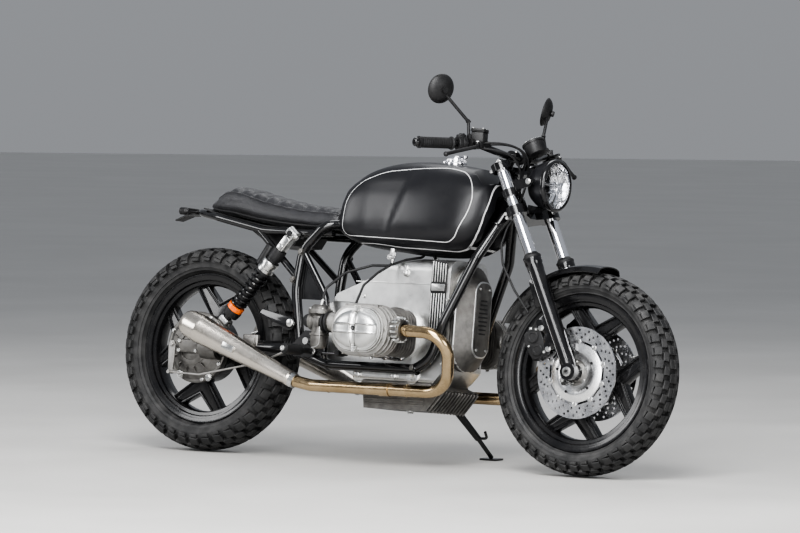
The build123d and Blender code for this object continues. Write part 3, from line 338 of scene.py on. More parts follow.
def pipe(points: Sequence[Point], radius: float, bends: Sequence[float], sides: int = 20,
        steps: int = 7) -> Form:
    """Make a round tube along straight runs joined by arcs, closed at both ends.

    Args:
        points: The corners of its centre line.
        radius: The tube's radius.
        bends: The arc's radius at each inner corner.
        sides: Facets round the tube.
        steps: Facets along each arc.

    Returns:
        The tube.
    """
    form = Form()
    line = [Vector(point) for point in points]
    made = bmesh.ops.create_circle(form.mesh, cap_ends=True, segments=sides, radius=radius,
        matrix=at(line[0], line[1] - line[0]))
    ring = list(made["verts"]) + list({edge for vertex in made["verts"] for edge in vertex.link_edges})
    place = line[0]

    def run_to(goal: Vector) -> None:
        """Draw the ring straight on to a point."""
        nonlocal ring, place
        edges = [item for item in ring if isinstance(item, bmesh.types.BMEdge)]
        ring = bmesh.ops.extrude_edge_only(form.mesh, edges=edges)["geom"]
        fresh = [item for item in ring if isinstance(item, bmesh.types.BMVert)]
        bmesh.ops.translate(form.mesh, vec=goal - place, verts=fresh)
        ring = [item for item in ring if not isinstance(item, bmesh.types.BMFace)]
        place = goal

    for before, corner, after, bend in zip(line, line[1:], line[2:], bends):
        into, out = (corner - before).normalized(), (after - corner).normalized()
        angle = into.angle(out)
        axis = into.cross(out).normalized()
        trim = bend * math.tan(angle / 2)
        start = corner - into * trim
        run_to(start)
        centre = start + axis.cross(into) * bend
        spun = bmesh.ops.spin(form.mesh, geom=ring, cent=centre, axis=axis, angle=angle, steps=steps)
        ring = [item for item in spun["geom_last"] if not isinstance(item, bmesh.types.BMFace)]
        place = corner + out * trim
    run_to(line[-1])
    bmesh.ops.edgeloop_fill(form.mesh, edges=[i for i in ring if isinstance(i, bmesh.types.BMEdge)])
    return form.tidy()


def wire(points: Sequence[Point], radius: float, sides: int = 2) -> Form:
    """Make a thin cable or hose on one smooth line.

    Args:
        points: The line's control points.
        radius: The cable's radius.
        sides: Blender's bevel resolution.

    Returns:
        The cable, closed at both ends.
    """
    curve = bpy.data.curves.new("line", "CURVE")
    curve.dimensions = "3D"
    curve.bevel_depth = radius
    curve.bevel_resolution = sides
    curve.use_fill_caps = True
    curve.resolution_u = 6
    spline = curve.splines.new("NURBS")
    spline.points.add(len(points) - 1)
    for spot, point in zip(spline.points, points):
        spot.co = (*point, 1.0)
    spline.order_u = 3
    spline.use_endpoint_u = True
    holder = bpy.data.objects.new("line", curve)
    data = bpy.data.meshes.new_from_object(holder)
    form = Form()
    form.mesh.from_mesh(data)
    bpy.data.objects.remove(holder)
    bpy.data.meshes.remove(data)
    bpy.data.curves.remove(curve)
    return form.tidy()


def joined(forms: Iterable[Form]) -> Form:
    """Join forms into one, in their order."""
    whole = Form()
    for form in forms:
        whole.add(form)
    return whole


@lru_cache(maxsize=None)
def hex_bolt(across: float = 10.0, height: float = 6.0) -> Form:
    """Make a hexagon head on a washer, standing on Z zero."""
    radius = across / math.sqrt(3.0)
    washer = rod(radius * 1.3, 0, 1.4, 20)
    head = turned([(0.5, 0), (0.5, radius), (height - 1, radius), (height, radius * 0.84), (height, 0)], 6)
    return Form().add(washer).add(head)


@lru_cache(maxsize=None)
def cap_screw(radius: float = 5.0, height: float = 6.0) -> Form:
    """Make a socket screw's head, standing on Z zero."""
    return turned([(0, 0), (0, radius), (height - 0.8, radius), (height, radius - 0.8),
        (height, radius * 0.52), (height * 0.4, radius * 0.5), (height * 0.4, 0)], 18)


def curve_at(table: Sequence[Sequence[float]], x: float) -> list[float]:
    """Read a table along a smooth curve through its rows.

    Args:
        table: Rows that each start with their x.
        x: Where to read it.

    Returns:
        The other columns there.
    """
    spot = max(0, min(len(table) - 2, sum(row[0] <= x for row in table) - 1))
    first, last = table[max(0, spot - 1)], table[min(len(table) - 1, spot + 2)]
    low, high = table[spot], table[spot + 1]
    share = held((x - low[0]) / (high[0] - low[0]))
    values = []
    for column in range(1, len(low)):
        span = high[0] - low[0]
        rise_low = (high[column] - first[column]) / (high[0] - first[0]) * span
        rise_high = (last[column] - low[column]) / (last[0] - low[0]) * span
        a = 2 * (low[column] - high[column]) + rise_low + rise_high
        b = 3 * (high[column] - low[column]) - 2 * rise_low - rise_high
        values.append(((a * share + b) * share + rise_low) * share + low[column])
    return values


def squared_ring(x: float, row: Sequence[float], sides: int, lean: float = 1.0,
        shrink: float = 0.0) -> list[Vector]:
    """Give an upright section with rounded corners, standing across the machine.

    Args:
        x: Where it stands.
        row: Its bottom, its top, its half widths low and high, and its squareness.
        sides: How many points it has.
        lean: How its width runs from low to high; 1 is straight.
        shrink: How far its flanks are drawn in.

    Returns:
        Its points.
    """
    low, high, wide_low, wide_high, square = row
    middle, half = (low + high) / 2, (high - low) / 2
    points = []
    for step in range(sides):
        angle = TURN * step / sides
        rise, out = (math.copysign(abs(share) ** (2 / square), share) for share in (math.sin(angle),
            math.cos(angle)))
        wide = wide_low + (wide_high - wide_low) * ((rise + 1) / 2) ** lean - shrink
        points.append(Vector((x, out * wide, middle + rise * half)))
    return points


def skinned(rings: Sequence[Sequence[Vector]]) -> Form:
    """Stretch one skin over rings of points and close both ends.

    Args:
        rings: Closed rings, all with as many points.

    Returns:
        The skin.
    """
    form = Form()
    drawn = [[form.mesh.verts.new(point) for point in ring] for ring in rings]
    for before, after in zip(drawn, drawn[1:]):
        for step in range(len(after)):
            form.mesh.faces.new((before[step - 1], before[step], after[step], after[step - 1]))
    for end in (drawn[0], drawn[-1]):
        form.mesh.faces.new(end)
    return form.tidy()


# Finishes


class Grain(Enum):
    """The fine relief of a surface: its pattern, and how much that moves the roughness."""

    SPRAYED = ("speckle", 0.02)
    CAST = ("speckle", 0.07)
    BRUSHED = ("strokes", 0.10)
    SPUN = ("rings", 0.08)
    HIDE = ("creases", 0.06)
    RUBBER = ("speckle", 0.06)


@dataclass(frozen=True)
class Finish:
    """How one surface looks.

    Lengths are in millimetres. colour and tone are the two colours that the surface drifts
    between, and rough holds the roughness at each of them.
    """

    name: str
    grain: Grain
    colour: Colour
    tone: Colour
    rough: tuple[float, float]
    metallic: float = 0.0
    coat: float = 0.0
    sheen: float = 0.0
    drift: float = 60.0
    size: float = 1.0
    relief: float = 0.05
    dust: float = 0.0
    dust_colour: Colour = (0.30, 0.27, 0.23)
    clear: float = 0.0


class Nodes:
    """A node tree with short calls for adding and joining nodes."""

    def __init__(self, tree: bpy.types.NodeTree) -> None:
        """Keep the tree."""
        self.tree = tree

    def put(self, kind: str, **settings: object) -> bpy.types.Node:
        """Add a node; a setting with a leading underscore is an input's value by name.

        Args:
            kind: The node's type, without its ShaderNode.
            settings: Attributes of the node, or values of its inputs.

        Returns:
            The node.
        """
        node = self.tree.nodes.new("ShaderNode" + kind)
        for key, value in settings.items():
            if key.startswith("_"):
                self.feed(node, key[1:].replace("_", " "), value)
            else:
                setattr(node, key, value)
        return node

    def feed(self, node: bpy.types.Node, socket: str | int, value: object) -> None:
        """Set an input, or join it where the value is another node's output."""
        if isinstance(value, bpy.types.NodeSocket):
            self.tree.links.new(value, node.inputs[socket])
        else:
            node.inputs[socket].default_value = value

    def math(self, work: str, *values: object) -> bpy.types.NodeSocket:
        """Add a maths node and give its result."""
        node = self.put("Math", operation=work)
        for index, value in enumerate(values):
            self.feed(node, index, value)
        return node.outputs[0]

    def ramp(self, value: bpy.types.NodeSocket, low: float, high: float, start: float = 0.0,
            end: float = 1.0) -> bpy.types.NodeSocket:
        """Map a value from low and high to start and end, held at both."""
        node = self.put("MapRange", _Value=value)
        for key, number in (("From Min", low), ("From Max", high), ("To Min", start), ("To Max", end)):
            node.inputs[key].default_value = number
        return node.outputs[0]

    def mix(self, share: object, first: object, second: object) -> bpy.types.NodeSocket:
        """Mix two colours and give the result."""
        node = self.put("Mix", data_type="RGBA")
        self.feed(node, 0, share)
        for index, colour in ((6, first), (7, second)):
            self.feed(node, index, (*colour, 1.0) if isinstance(colour, tuple) else colour)
        return node.outputs[2]


@lru_cache(maxsize=None)
def effect(name: str) -> bpy.types.ShaderNodeTree:
    """Build one shared effect as a node group.

    Args:
        name: drift, speckle, strokes, rings, creases or dust.

    Returns:
        The group, with a Vector and a Size in millimetres going in and a Value coming out.
    """
    group = bpy.data.node_groups.new("effect_" + name, "ShaderNodeTree")
    group.interface.new_socket("Vector", in_out="INPUT", socket_type="NodeSocketVector")
    size = group.interface.new_socket("Size", in_out="INPUT", socket_type="NodeSocketFloat")
    size.default_value = 1.0
    group.interface.new_socket("Value", in_out="OUTPUT", socket_type="NodeSocketFloat")
    nodes = Nodes(group)
    start = group.nodes.new("NodeGroupInput")
    end = group.nodes.new("NodeGroupOutput")
    vector = start.outputs["Vector"]
    scale = nodes.math("DIVIDE", 1000.0, start.outputs["Size"])
    if name == "drift":
        wide = nodes.put("TexNoise", _Vector=vector, _Scale=scale, _Detail=4.0, _Roughness=0.6)
        value = nodes.ramp(wide.outputs[0], 0.32, 0.68)
    elif name == "speckle":
        fine = nodes.put("TexNoise", _Vector=vector, _Scale=scale, _Detail=3.0, _Roughness=0.7)
        value = fine.outputs[0]
    elif name == "strokes":
        drawn = nodes.put("Mapping", _Vector=vector, _Scale=(0.02, 1.0, 1.0))
        fine = nodes.put("TexNoise", _Vector=drawn.outputs[0], _Scale=scale, _Detail=2.0)
        value = fine.outputs[0]
    elif name == "rings":
        parts = nodes.put("SeparateXYZ", _Vector=vector)
        reach = nodes.math("SQRT", nodes.math("ADD", nodes.math("POWER", parts.outputs[0], 2.0),
            nodes.math("POWER", parts.outputs[1], 2.0)))
        flat = nodes.put("CombineXYZ", _X=reach)
        fine = nodes.put("TexNoise", _Vector=flat.outputs[0], _Scale=scale, _Detail=2.0)
        value = fine.outputs[0]
    elif name == "creases":
        cells = nodes.put("TexVoronoi", feature="DISTANCE_TO_EDGE", _Vector=vector, _Scale=scale)
        value = nodes.ramp(cells.outputs["Distance"], 0.0, 0.22)
    else:
        # Pale patches on upward faces: real dirt, and on the tyre partly a painted highlight as well.
        facing = nodes.put("SeparateXYZ", _Vector=nodes.put("NewGeometry").outputs["Normal"])
        upward = nodes.ramp(facing.outputs[2], -0.2, 1.0, 0.25, 1.0)
        patch = nodes.put("TexNoise", _Vector=vector, _Scale=scale, _Detail=6.0, _Roughness=0.65)
        value = nodes.math("MULTIPLY", upward, nodes.ramp(patch.outputs[0], 0.38, 0.72))
    nodes.feed(end, "Value", value)
    return group


class Painter:
    """Makes each finish into a material once, its patterns centred on a place."""

    dust_size: float = 45.0
    dust_rough: float = 0.35

    def __init__(self, to_row: Matrix) -> None:
        """Keep the machine's own place and start with no materials."""
        self.to_row = to_row
        self.made: dict[tuple[str, tuple[float, ...]], bpy.types.Material] = {}

    def material(self, finish: Finish, place: Matrix | None = None) -> bpy.types.Material:
        """Give a finish as a material.

        Args:
            finish: The finish.
            place: The place on the machine whose X, Y and Z the patterns follow.

        Returns:
            The material.
        """
        where = self.to_row @ (place or Matrix())
        key = (finish.name, tuple(round(value, 5) for row in where for value in row))
        if key not in self.made:
            self.made[key] = self.mixed(finish, where)
        return self.made[key]

    def mixed(self, finish: Finish, where: Matrix) -> bpy.types.Material:
        """Build the node tree of one finish round a place in the row frame."""
        made = bpy.data.materials.new(finish.name)
        made.use_nodes = True
        made.diffuse_color = (*finish.colour, 1.0)
        nodes = Nodes(made.node_tree)
        shader = made.node_tree.nodes["Principled BSDF"]
        spot, aim, _ = where.decompose()
        coords = nodes.put("TexCoord").outputs["Object"]
        vector = nodes.put("Mapping", vector_type="TEXTURE", _Vector=coords, _Location=spot,
            _Rotation=aim.to_euler()).outputs[0]
        wander = self.value(nodes, "drift", vector, finish.drift)
        colour = nodes.mix(wander, finish.colour, finish.tone)
        rough = nodes.ramp(wander, 0.0, 1.0, *finish.rough)
        pattern, strength = finish.grain.value
        fine = self.value(nodes, pattern, vector, finish.size)
        rough = nodes.math("ADD", rough, nodes.ramp(fine, 0.3, 0.7, -strength, strength))
        if finish.dust:
            dust = nodes.math("MULTIPLY", self.value(nodes, "dust", vector, self.dust_size), finish.dust)
            colour = nodes.mix(dust, colour, finish.dust_colour)
            rough = nodes.math("ADD", rough, nodes.math("MULTIPLY", dust, self.dust_rough))
        bump = nodes.put("Bump", _Height=fine, _Strength=1.0, _Distance=finish.relief * MM)
        nodes.feed(shader, "Base Color", colour)
        nodes.feed(shader, "Roughness", nodes.ramp(rough, 0.0, 1.0))
        nodes.feed(shader, "Normal", bump.outputs[0])
        for socket, value in (("Metallic", finish.metallic), ("Coat Weight", finish.coat),
                ("Sheen Weight", finish.sheen), ("Coat Roughness", 0.08), ("Transmission Weight",
                finish.clear)):
            shader.inputs[socket].default_value = value
        return made

    @staticmethod
    def value(nodes: Nodes, name: str, vector: bpy.types.NodeSocket, size: float) -> bpy.types.NodeSocket:
        """Place a shared effect in a material and give its value."""
        node = nodes.put("Group", node_tree=effect(name), _Vector=vector, _Size=size)
        return node.outputs["Value"]


FRAME_BLACK = Finish("frame_black", Grain.SPRAYED, (0.006, 0.006, 0.007), (0.010, 0.010, 0.011),
    (0.14, 0.24), coat=0.5, size=3.0, relief=0.02, dust=0.03)
SATIN_BLACK = Finish("satin_black", Grain.SPRAYED, (0.012, 0.012, 0.014), (0.016, 0.016, 0.018),
    (0.32, 0.38), size=1.2, relief=0.015)
WHEEL_BLACK = Finish("wheel_black", Grain.SPRAYED, (0.006, 0.006, 0.007), (0.011, 0.011, 0.012),
    (0.20, 0.30), coat=0.3, size=2.0, relief=0.02, dust=0.04)
BLASTED = Finish("blasted_aluminium", Grain.CAST, (0.62, 0.62, 0.61), (0.72, 0.72, 0.71), (0.30, 0.42),
    metallic=1.0, drift=40.0, size=0.9, relief=0.05)
CAST_GREY = Finish("cast_aluminium", Grain.CAST, (0.30, 0.295, 0.28), (0.42, 0.41, 0.40), (0.42, 0.58),
    metallic=1.0, drift=25.0, size=1.3, relief=0.12, dust=0.18)
# Soot-dark cast aluminium; it also stands as painted shade on the heads' cores between the fins and in the
# rocker covers' gap lines.
CAST_DARK = Finish("sooted_aluminium_and_painted_shade", Grain.CAST, (0.14, 0.135, 0.13), (0.24, 0.235, 0.225), (0.45, 0.60),
    metallic=1.0, drift=25.0, size=1.3, relief=0.12, dust=0.25)
BRUSHED = Finish("brushed_steel", Grain.BRUSHED, (0.60, 0.56, 0.50), (0.68, 0.64, 0.59), (0.24, 0.34),
    metallic=1.0, drift=90.0, size=0.8, relief=0.02)
HEAT_TINTED = Finish("heat_tinted_steel", Grain.BRUSHED, (0.40, 0.30, 0.18), (0.56, 0.44, 0.29),
    (0.16, 0.28), metallic=1.0, drift=120.0, size=0.8, relief=0.015)
CHROME = Finish("chrome", Grain.SPRAYED, (0.80, 0.80, 0.82), (0.86, 0.86, 0.88), (0.05, 0.10), metallic=1.0,
    size=4.0, relief=0.004)
ZINC = Finish("zinc", Grain.SPRAYED, (0.55, 0.55, 0.54), (0.66, 0.66, 0.65), (0.24, 0.36), metallic=1.0,
    size=1.0, relief=0.02)
DISC_STEEL = Finish("disc_steel", Grain.SPUN, (0.62, 0.62, 0.63), (0.74, 0.74, 0.75), (0.22, 0.34),
    metallic=1.0, drift=50.0, size=0.7, relief=0.02)
CARRIER = Finish("disc_carrier", Grain.SPUN, (0.74, 0.74, 0.74), (0.84, 0.84, 0.84), (0.22, 0.32),
    metallic=1.0, size=0.8, relief=0.02)
MATT_BLACK = Finish("matt_black", Grain.CAST, (0.009, 0.009, 0.010), (0.016, 0.016, 0.017), (0.42, 0.56),
    size=0.8, relief=0.04, dust=0.04)
RUBBER = Finish("rubber", Grain.RUBBER, (0.010, 0.010, 0.011), (0.018, 0.018, 0.019), (0.50, 0.64),
    size=1.5, relief=0.04, dust=0.04)
# The tyre's heavy pale dusting on the lugs' upward faces is partly real dirt and partly a painted highlight
# on the lugs.
TYRE = Finish("tyre_rubber", Grain.RUBBER, (0.014, 0.014, 0.015), (0.026, 0.026, 0.026), (0.50, 0.68),
    drift=35.0, size=2.2, relief=0.08, dust=0.42, dust_colour=(0.21, 0.205, 0.20))
HIDE = Finish("black_hide", Grain.HIDE, (0.018, 0.018, 0.020), (0.028, 0.028, 0.031), (0.36, 0.46),
    sheen=0.1, drift=70.0, size=1.6, relief=0.10)
# Pale line paint: the tank's stripe, the painted highlight along the tank's edges and the dial's ticks.
PALE_LINE = Finish("pinstripe", Grain.SPRAYED, (0.52, 0.52, 0.52), (0.60, 0.60, 0.60), (0.30, 0.36),
    size=1.0, relief=0.01)
MIRROR = Finish("mirror_glass", Grain.SPRAYED, (0.88, 0.88, 0.90), (0.92, 0.92, 0.94), (0.01, 0.03),
    metallic=1.0, size=8.0, relief=0.001)
GLASS = Finish("lamp_glass", Grain.SPRAYED, (0.96, 0.97, 0.98), (0.98, 0.98, 0.99), (0.02, 0.05), size=6.0,
    relief=0.01, clear=1.0)
RED_LENS = Finish("smoked_red_lens", Grain.SPRAYED, (0.06, 0.004, 0.004), (0.09, 0.006, 0.006),
    (0.12, 0.20), coat=0.6, size=3.0, relief=0.02)
SMOKED_LENS = Finish("smoked_amber_lens", Grain.SPRAYED, (0.10, 0.04, 0.01), (0.14, 0.06, 0.015),
    (0.12, 0.20), coat=0.6, size=3.0, relief=0.02)
ORANGE = Finish("orange_collar", Grain.SPRAYED, (0.80, 0.18, 0.03), (0.70, 0.14, 0.02), (0.25, 0.35),
    size=1.5, relief=0.02)
BARE_DIAL = Finish("dial", Grain.SPRAYED, (0.03, 0.03, 0.032), (0.04, 0.04, 0.042), (0.4, 0.5), size=1.0,
    relief=0.01)
FLOOR = Finish("pale_floor", Grain.CAST, (0.50, 0.49, 0.47), (0.56, 0.55, 0.53), (0.55, 0.70), drift=900.0,
    size=4.0, relief=0.05)


# The machine and its stage


class Machine:
    """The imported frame, and the calls that turn forms into pieces on it."""

    def __init__(self, frame: dict) -> None:
        """Find where the upright machine's millimetres land in the row frame."""
        joints = {joint["name"]: joint for joint in frame["joints"]}
        lean = Matrix.Rotation(-LEAN, 4, "X")
        shift = Vector(joints["rear_spin"]["pos_m"]) - lean @ (REAR_AXLE * MM)
        self.to_row = Matrix.Translation(shift) @ lean @ Matrix.Scale(MM, 4)
        self.nodes = frame["nodes"]
        self.painter = Painter(self.to_row)

    def piece(self, name: str, form: Form, finishes: Finish | Sequence[Finish],
            replaces: Sequence[str] = (), place: Matrix | None = None, angle: float = 34.0,
            body: Body = Body.CHASSIS) -> bpy.types.Object:
        """Make a form into a finished piece that rides on a body.

        Args:
            name: The piece's name.
            form: Its shape, on the upright machine.
            finishes: Its finish, or one for each index its faces hold.
            replaces: The CAD nodes it stands for.
            place: The place its finish's patterns follow.
            angle: Edges sharper than this stay sharp, in degrees.
            body: The body it rides on.

        Returns:
            The piece.
        """
        data = bpy.data.meshes.new(name)
        form.mesh.to_mesh(data)
        data.transform(self.to_row)
        data.shade_smooth()
        data.set_sharp_from_angle(angle=math.radians(angle))
        made = linked(name, data)
        for finish in finishes if isinstance(finishes, (tuple, list)) else (finishes,):
            data.materials.append(self.painter.material(finish, place))
        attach(made, body.value)
        if replaces:
            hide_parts(*replaces)
        LOG.info("%s: %d faces", name, len(data.polygons))
        return made

    def dress(self, node: str, finish: Finish, place: Matrix | None = None) -> None:
        """Give a CAD node a finish."""
        data = self.nodes[node].data
        data.materials.clear()
        data.materials.append(self.painter.material(finish, place))


class Studio:
    """The floor, the lights and the camera at the photograph's angle."""

    eye: Vector = Vector((9492.8, -12530.6, 1303.2))
    ahead: Vector = Vector((-0.57092, 0.81980, -0.04445))
    right: Vector = Vector((0.82029, 0.57184, 0.01076))
    lens: float = 217.9
    # Name, place in metres, watts and width in metres
    lamps: tuple = (("key", (1.6, -3.2, 4.2), 230.0, 2.4), ("near", (2.4, -5.6, 2.0), 260.0, 3.6),
        ("fill", (-3.8, -3.0, 2.2), 70.0, 2.0), ("rim", (-1.2, 2.6, 5.0), 70.0, 3.0),
        ("front", (4.6, -1.4, 1.6), 45.0, 1.6),)
    aim: Vector = Vector((0.0, 0.0, 0.5))
    floor_half: float = 40.0

    def build(self, machine: Machine) -> None:
        """Make the floor, the lights and the camera."""
        self.floor(machine)
        for name, spot, power, size in self.lamps:
            self.lamp(name, Vector(spot), power, size)
        self.sky()
        self.camera(machine)

    def floor(self, machine: Machine) -> None:
        """Lay the plain floor."""
        form = Form()
        bmesh.ops.create_grid(form.mesh, x_segments=1, y_segments=1, size=self.floor_half)
        data = bpy.data.meshes.new("floor")
        form.mesh.to_mesh(data)
        data.materials.append(machine.painter.material(FLOOR))
        linked("floor", data)

    def lamp(self, name: str, spot: Vector, power: float, size: float) -> None:
        """Hang one soft square lamp that faces the machine."""
        data = bpy.data.lights.new(name, "AREA")
        data.energy = power
        data.size = size
        lamp = linked(name, data)
        lamp.location = spot
        lamp.rotation_euler = (self.aim - spot).to_track_quat("-Z", "Y").to_euler()

    def sky(self) -> None:
        """Fill the room with a soft pale light."""
        world = bpy.data.worlds.new("room")
        world.use_nodes = True
        nodes = Nodes(world.node_tree)
        back = world.node_tree.nodes["Background"]
        height = nodes.put("SeparateXYZ", _Vector=nodes.put("TexCoord").outputs["Generated"]).outputs[2]
        share = nodes.ramp(height, -0.1, 0.8)
        nodes.feed(back, "Color", nodes.mix(share, (0.40, 0.41, 0.43), (0.62, 0.65, 0.70)))
        back.inputs["Strength"].default_value = 0.6
        bpy.context.scene.world = world
        bpy.context.scene.view_settings.look = "AgX - High Contrast"

    def camera(self, machine: Machine) -> None:
        """Put the camera where the photograph was taken from."""
        data = bpy.data.cameras.new("camera")
        data.lens = self.lens
        data.sensor_width = 36.0
        data.clip_end = 60.0
        camera = linked("camera", data)
        up = self.right.cross(self.ahead).normalized()
        turn = Matrix((self.right, up, -self.ahead)).transposed().to_4x4()
        ground = machine.to_row @ Matrix.Scale(1.0 / MM, 4)
        shift = ground.translation
        camera.matrix_world = Matrix.Translation(self.eye * MM + shift) @ turn
        bpy.context.scene.camera = camera


# Wheels and tyres


@dataclass
class KnobblyTyre:
    """A tyre with staggered blocks round its crown and lugs over its shoulders."""

    name: str
    body: Body
    centre: Vector
    radius: float
    width: float
    height: float
    count: int
    lip: float = 245.4
    # Rows of lugs: middle across, half width across, share of the pitch, phase, skew, height share
    rows: Sequence[Sequence[float]] = ((0.085, 0.072, 0.66, 0.0, 0.0, 1.0), (0.262, 0.080, 0.64, 0.5, 5.0,
        1.0), (0.446, 0.084, 0.62, 0.0, 7.0, 1.0), (0.576, 0.032, 0.56, 0.0, 3.0, 0.9),)

    def floor_line(self) -> list[tuple[float, float]]:
        """Give the tread's floor from the crown to the tyre's widest point, as (y, radius)."""
        half, drop = self.width / 2 - 3.0, 0.26 * self.width
        base = self.radius - self.height
        return [(half * math.sin(step * TURN / 64), base - drop * (1 - math.cos(step * TURN / 64)))
            for step in range(17)]

    def carcass(self) -> Form:
        """Turn the casing with its bead, its sidewall rings and its tread floor."""
        half = self.width / 2
        wall = [(half - 2.5, self.radius - self.height - 0.30 * self.width), (half - 3.5,
            self.lip + 0.42 * (self.radius - self.lip)), (half - 6, self.lip + 19),
            (half - 6, self.lip + 16.5), (half - 8.5, self.lip + 16), (half - 11, self.lip + 10),
            (half - 12, self.lip + 7.5), (half - 14.5, self.lip + 7), (41.5, self.lip + 2),
            (39.5, self.lip + 0.6), (34.6, self.lip + 0.4), (34.6, 229.0)]
        line = self.floor_line() + wall
        outline = [(-y, r) for y, r in reversed(line)] + line[1:]
        return turned(outline, 144, shut=True)

    def lug(self, half_across: float, length: float, height: float) -> Form:
        """Make one rubber block, flat on the tread, with its top edges bevelled down."""
        form = block((2 * half_across, length, height + 1.5))
        bmesh.ops.translate(form.mesh, vec=(0, 0, (height - 1.5) / 2), verts=form.mesh.verts)
        bmesh.ops.subdivide_edges(form.mesh, edges=[e for e in form.mesh.edges
            if abs((e.verts[0].co - e.verts[1].co).x) > half_across], cuts=2)
        top = [face for face in form.mesh.faces if face.normal.z > FACING]
        bmesh.ops.inset_region(form.mesh, faces=top, thickness=1.6, depth=0.0)
        rim = {v for face in form.mesh.faces if face.normal.z > FACING for v in face.verts}
        outer = [v for v in rim if abs(abs(v.co.x) - half_across) < 0.01
            or abs(abs(v.co.y) - length / 2) < 0.01]
        bmesh.ops.translate(form.mesh, vec=(0, 0, -1.3), verts=outer)
        return form

    def wrapped(self, form: Form, across: float, round_by: float, skew: float) -> Form:
        """Lay a flat block on the tread.

        Args:
            form: The block; X is across the tread and Y round it.
            across: Its distance from the centre line, along the tread.
            round_by: Its angle round the wheel, in radians.
            skew: Its turn on the tread, in degrees.

        Returns:
            A copy of the block on the tread.
        """
        line = self.floor_line()
        reach = [0.0]
        for first, last in zip(line, line[1:]):
            reach.append(reach[-1] + math.dist(first, last))
        turn = Matrix.Rotation(math.radians(skew), 4, "Z")

        def lay(co: Vector) -> Vector:
            """Send one point of the flat tread onto the tyre."""
            flat = turn @ co + Vector((across, 0.0, 0.0))
            hand = -1.0 if flat.x < 0 else 1.0
            spot = min(abs(flat.x), reach[-1] + 14.0)
            cell = min(len(line) - 2, sum(mark <= spot for mark in reach) - 1)
            share = (spot - reach[cell]) / (reach[cell + 1] - reach[cell])
            (y0, r0), (y1, r1) = line[cell], line[cell + 1]
            step = Vector((y1 - y0, r1 - r0)).normalized()
            y = y0 + (y1 - y0) * share - step.y * flat.z
            reached = r0 + (r1 - r0) * share + step.x * flat.z
            angle = round_by + flat.y / self.radius
            return Vector((reached * math.cos(angle), reached * math.sin(angle), hand * y))

        return Form().add(form).shaped(lay)

    def build(self, machine: Machine) -> None:
        """Make the tyre as one piece."""
        tyre = self.carcass()
        pitch = TURN / self.count
        arc = pitch * self.radius
        for across, half, share, phase, skew, tall in self.rows:
            lug = self.lug(half * self.width, arc * share, self.height * tall)
            for hand in (-1, 1):
                laid = self.wrapped(lug, hand * across * self.width, phase * pitch, hand * skew)
                for place in ring_of(self.count):
                    tyre.add(laid, place)
        place = side(0.0, self.centre.x, self.centre.z)
        machine.piece(self.name + "_knobbly", tyre.moved(place), TYRE, (self.name,), place, 28.0,
            body=self.body)


@dataclass
class CastWheel:
    """A cast wheel with four spokes that fork at the rim."""

    name: str
    body: Body
    centre: Vector
    hub: Pairs
    hub_radius: float
    spoke_start: float = 80.0
    spoke_depth: float = 32.0
    fork_radius: float = 150.0
    rim_edge: Pairs = ((-40, 232), (-40, 243), (-38, 245), (-36, 243), (-35, 235), (-33, 229), (-20, 227),
        (-14, 221), (-8, 213), (8, 213), (14, 221), (20, 227), (33, 229), (35, 235), (36, 243), (38, 245),
        (40, 243), (40, 232), (38, 229), (37, 222), (31, 219), (29, 209), (24, 205), (0, 203), (-24, 205),
        (-29, 209), (-31, 219), (-37, 222), (-38, 229),)

    def spoke(self) -> Form:
        """Cast one forked spoke with a sunk web between its ribs."""
        start = self.hub_radius - 8.0
        upper = [(max(start + 4, 104), 23), (178, 101), (206, 108), (213, 82), (self.fork_radius, 0)]
        outline = [(start, -27), *((x, -y) for x, y in upper[:-1]), upper[-1], *reversed(upper[:-1]),
            (start, 27)]
        form = plate(outline, self.spoke_depth)
        for face in [f for f in form.mesh.faces if abs(f.normal.z) > FACING]:
            bmesh.ops.inset_region(form.mesh, faces=[face], thickness=6.5, depth=0.0)
            bmesh.ops.inset_region(form.mesh, faces=[face], thickness=2.5, depth=-6.5)
            bmesh.ops.inset_region(form.mesh, faces=[face], thickness=3.5, depth=0.0)
            bmesh.ops.inset_region(form.mesh, faces=[face], thickness=1.5, depth=3.0)
        return form.rounded(1.6, 2, 40.0).moved(move(0, 0, -self.spoke_depth / 2))

    def build(self, machine: Machine) -> None:
        """Make the wheel as one piece, with its valve."""
        wheel = turned(self.rim_edge, 144, shut=True)
        spokes = ring_of(4, 0.0, math.radians(self.spoke_start))
        wheel.add(self.spoke(), *spokes)
        wheel.add(turned(self.hub, 64, shut=True))
        valve = turned([(0, 0), (0, 5), (6, 5), (8, 3), (30, 3), (30, 4.2), (40, 4.2), (40, 0)], 14)
        wheel.add(valve.tint(1), Matrix.Rotation(0.35, 4, "Z") @ at((206, 0, 0), (-1, 0, 0)))
        place = side(0.0, self.centre.x, self.centre.z)
        machine.piece(self.name + "_cast", wheel.moved(place), (WHEEL_BLACK, ZINC),
            (self.name,), place, body=self.body)


# Hubs, as (distance to the right of the machine's middle, radius)
FRONT_HUB: Pairs = ((-52, 10.6), (-52, 46), (-46, 50), (-40, 48), (-28, 38), (28, 38), (40, 48), (46, 50),
    (52, 46), (52, 10.6))
REAR_HUB: Pairs = ((46, 14.6), (46, 108), (-4, 108), (-10, 100), (-24, 60), (-38, 46), (-46, 40), (-50, 38),
    (-50, 14.6))


# Tank and seat


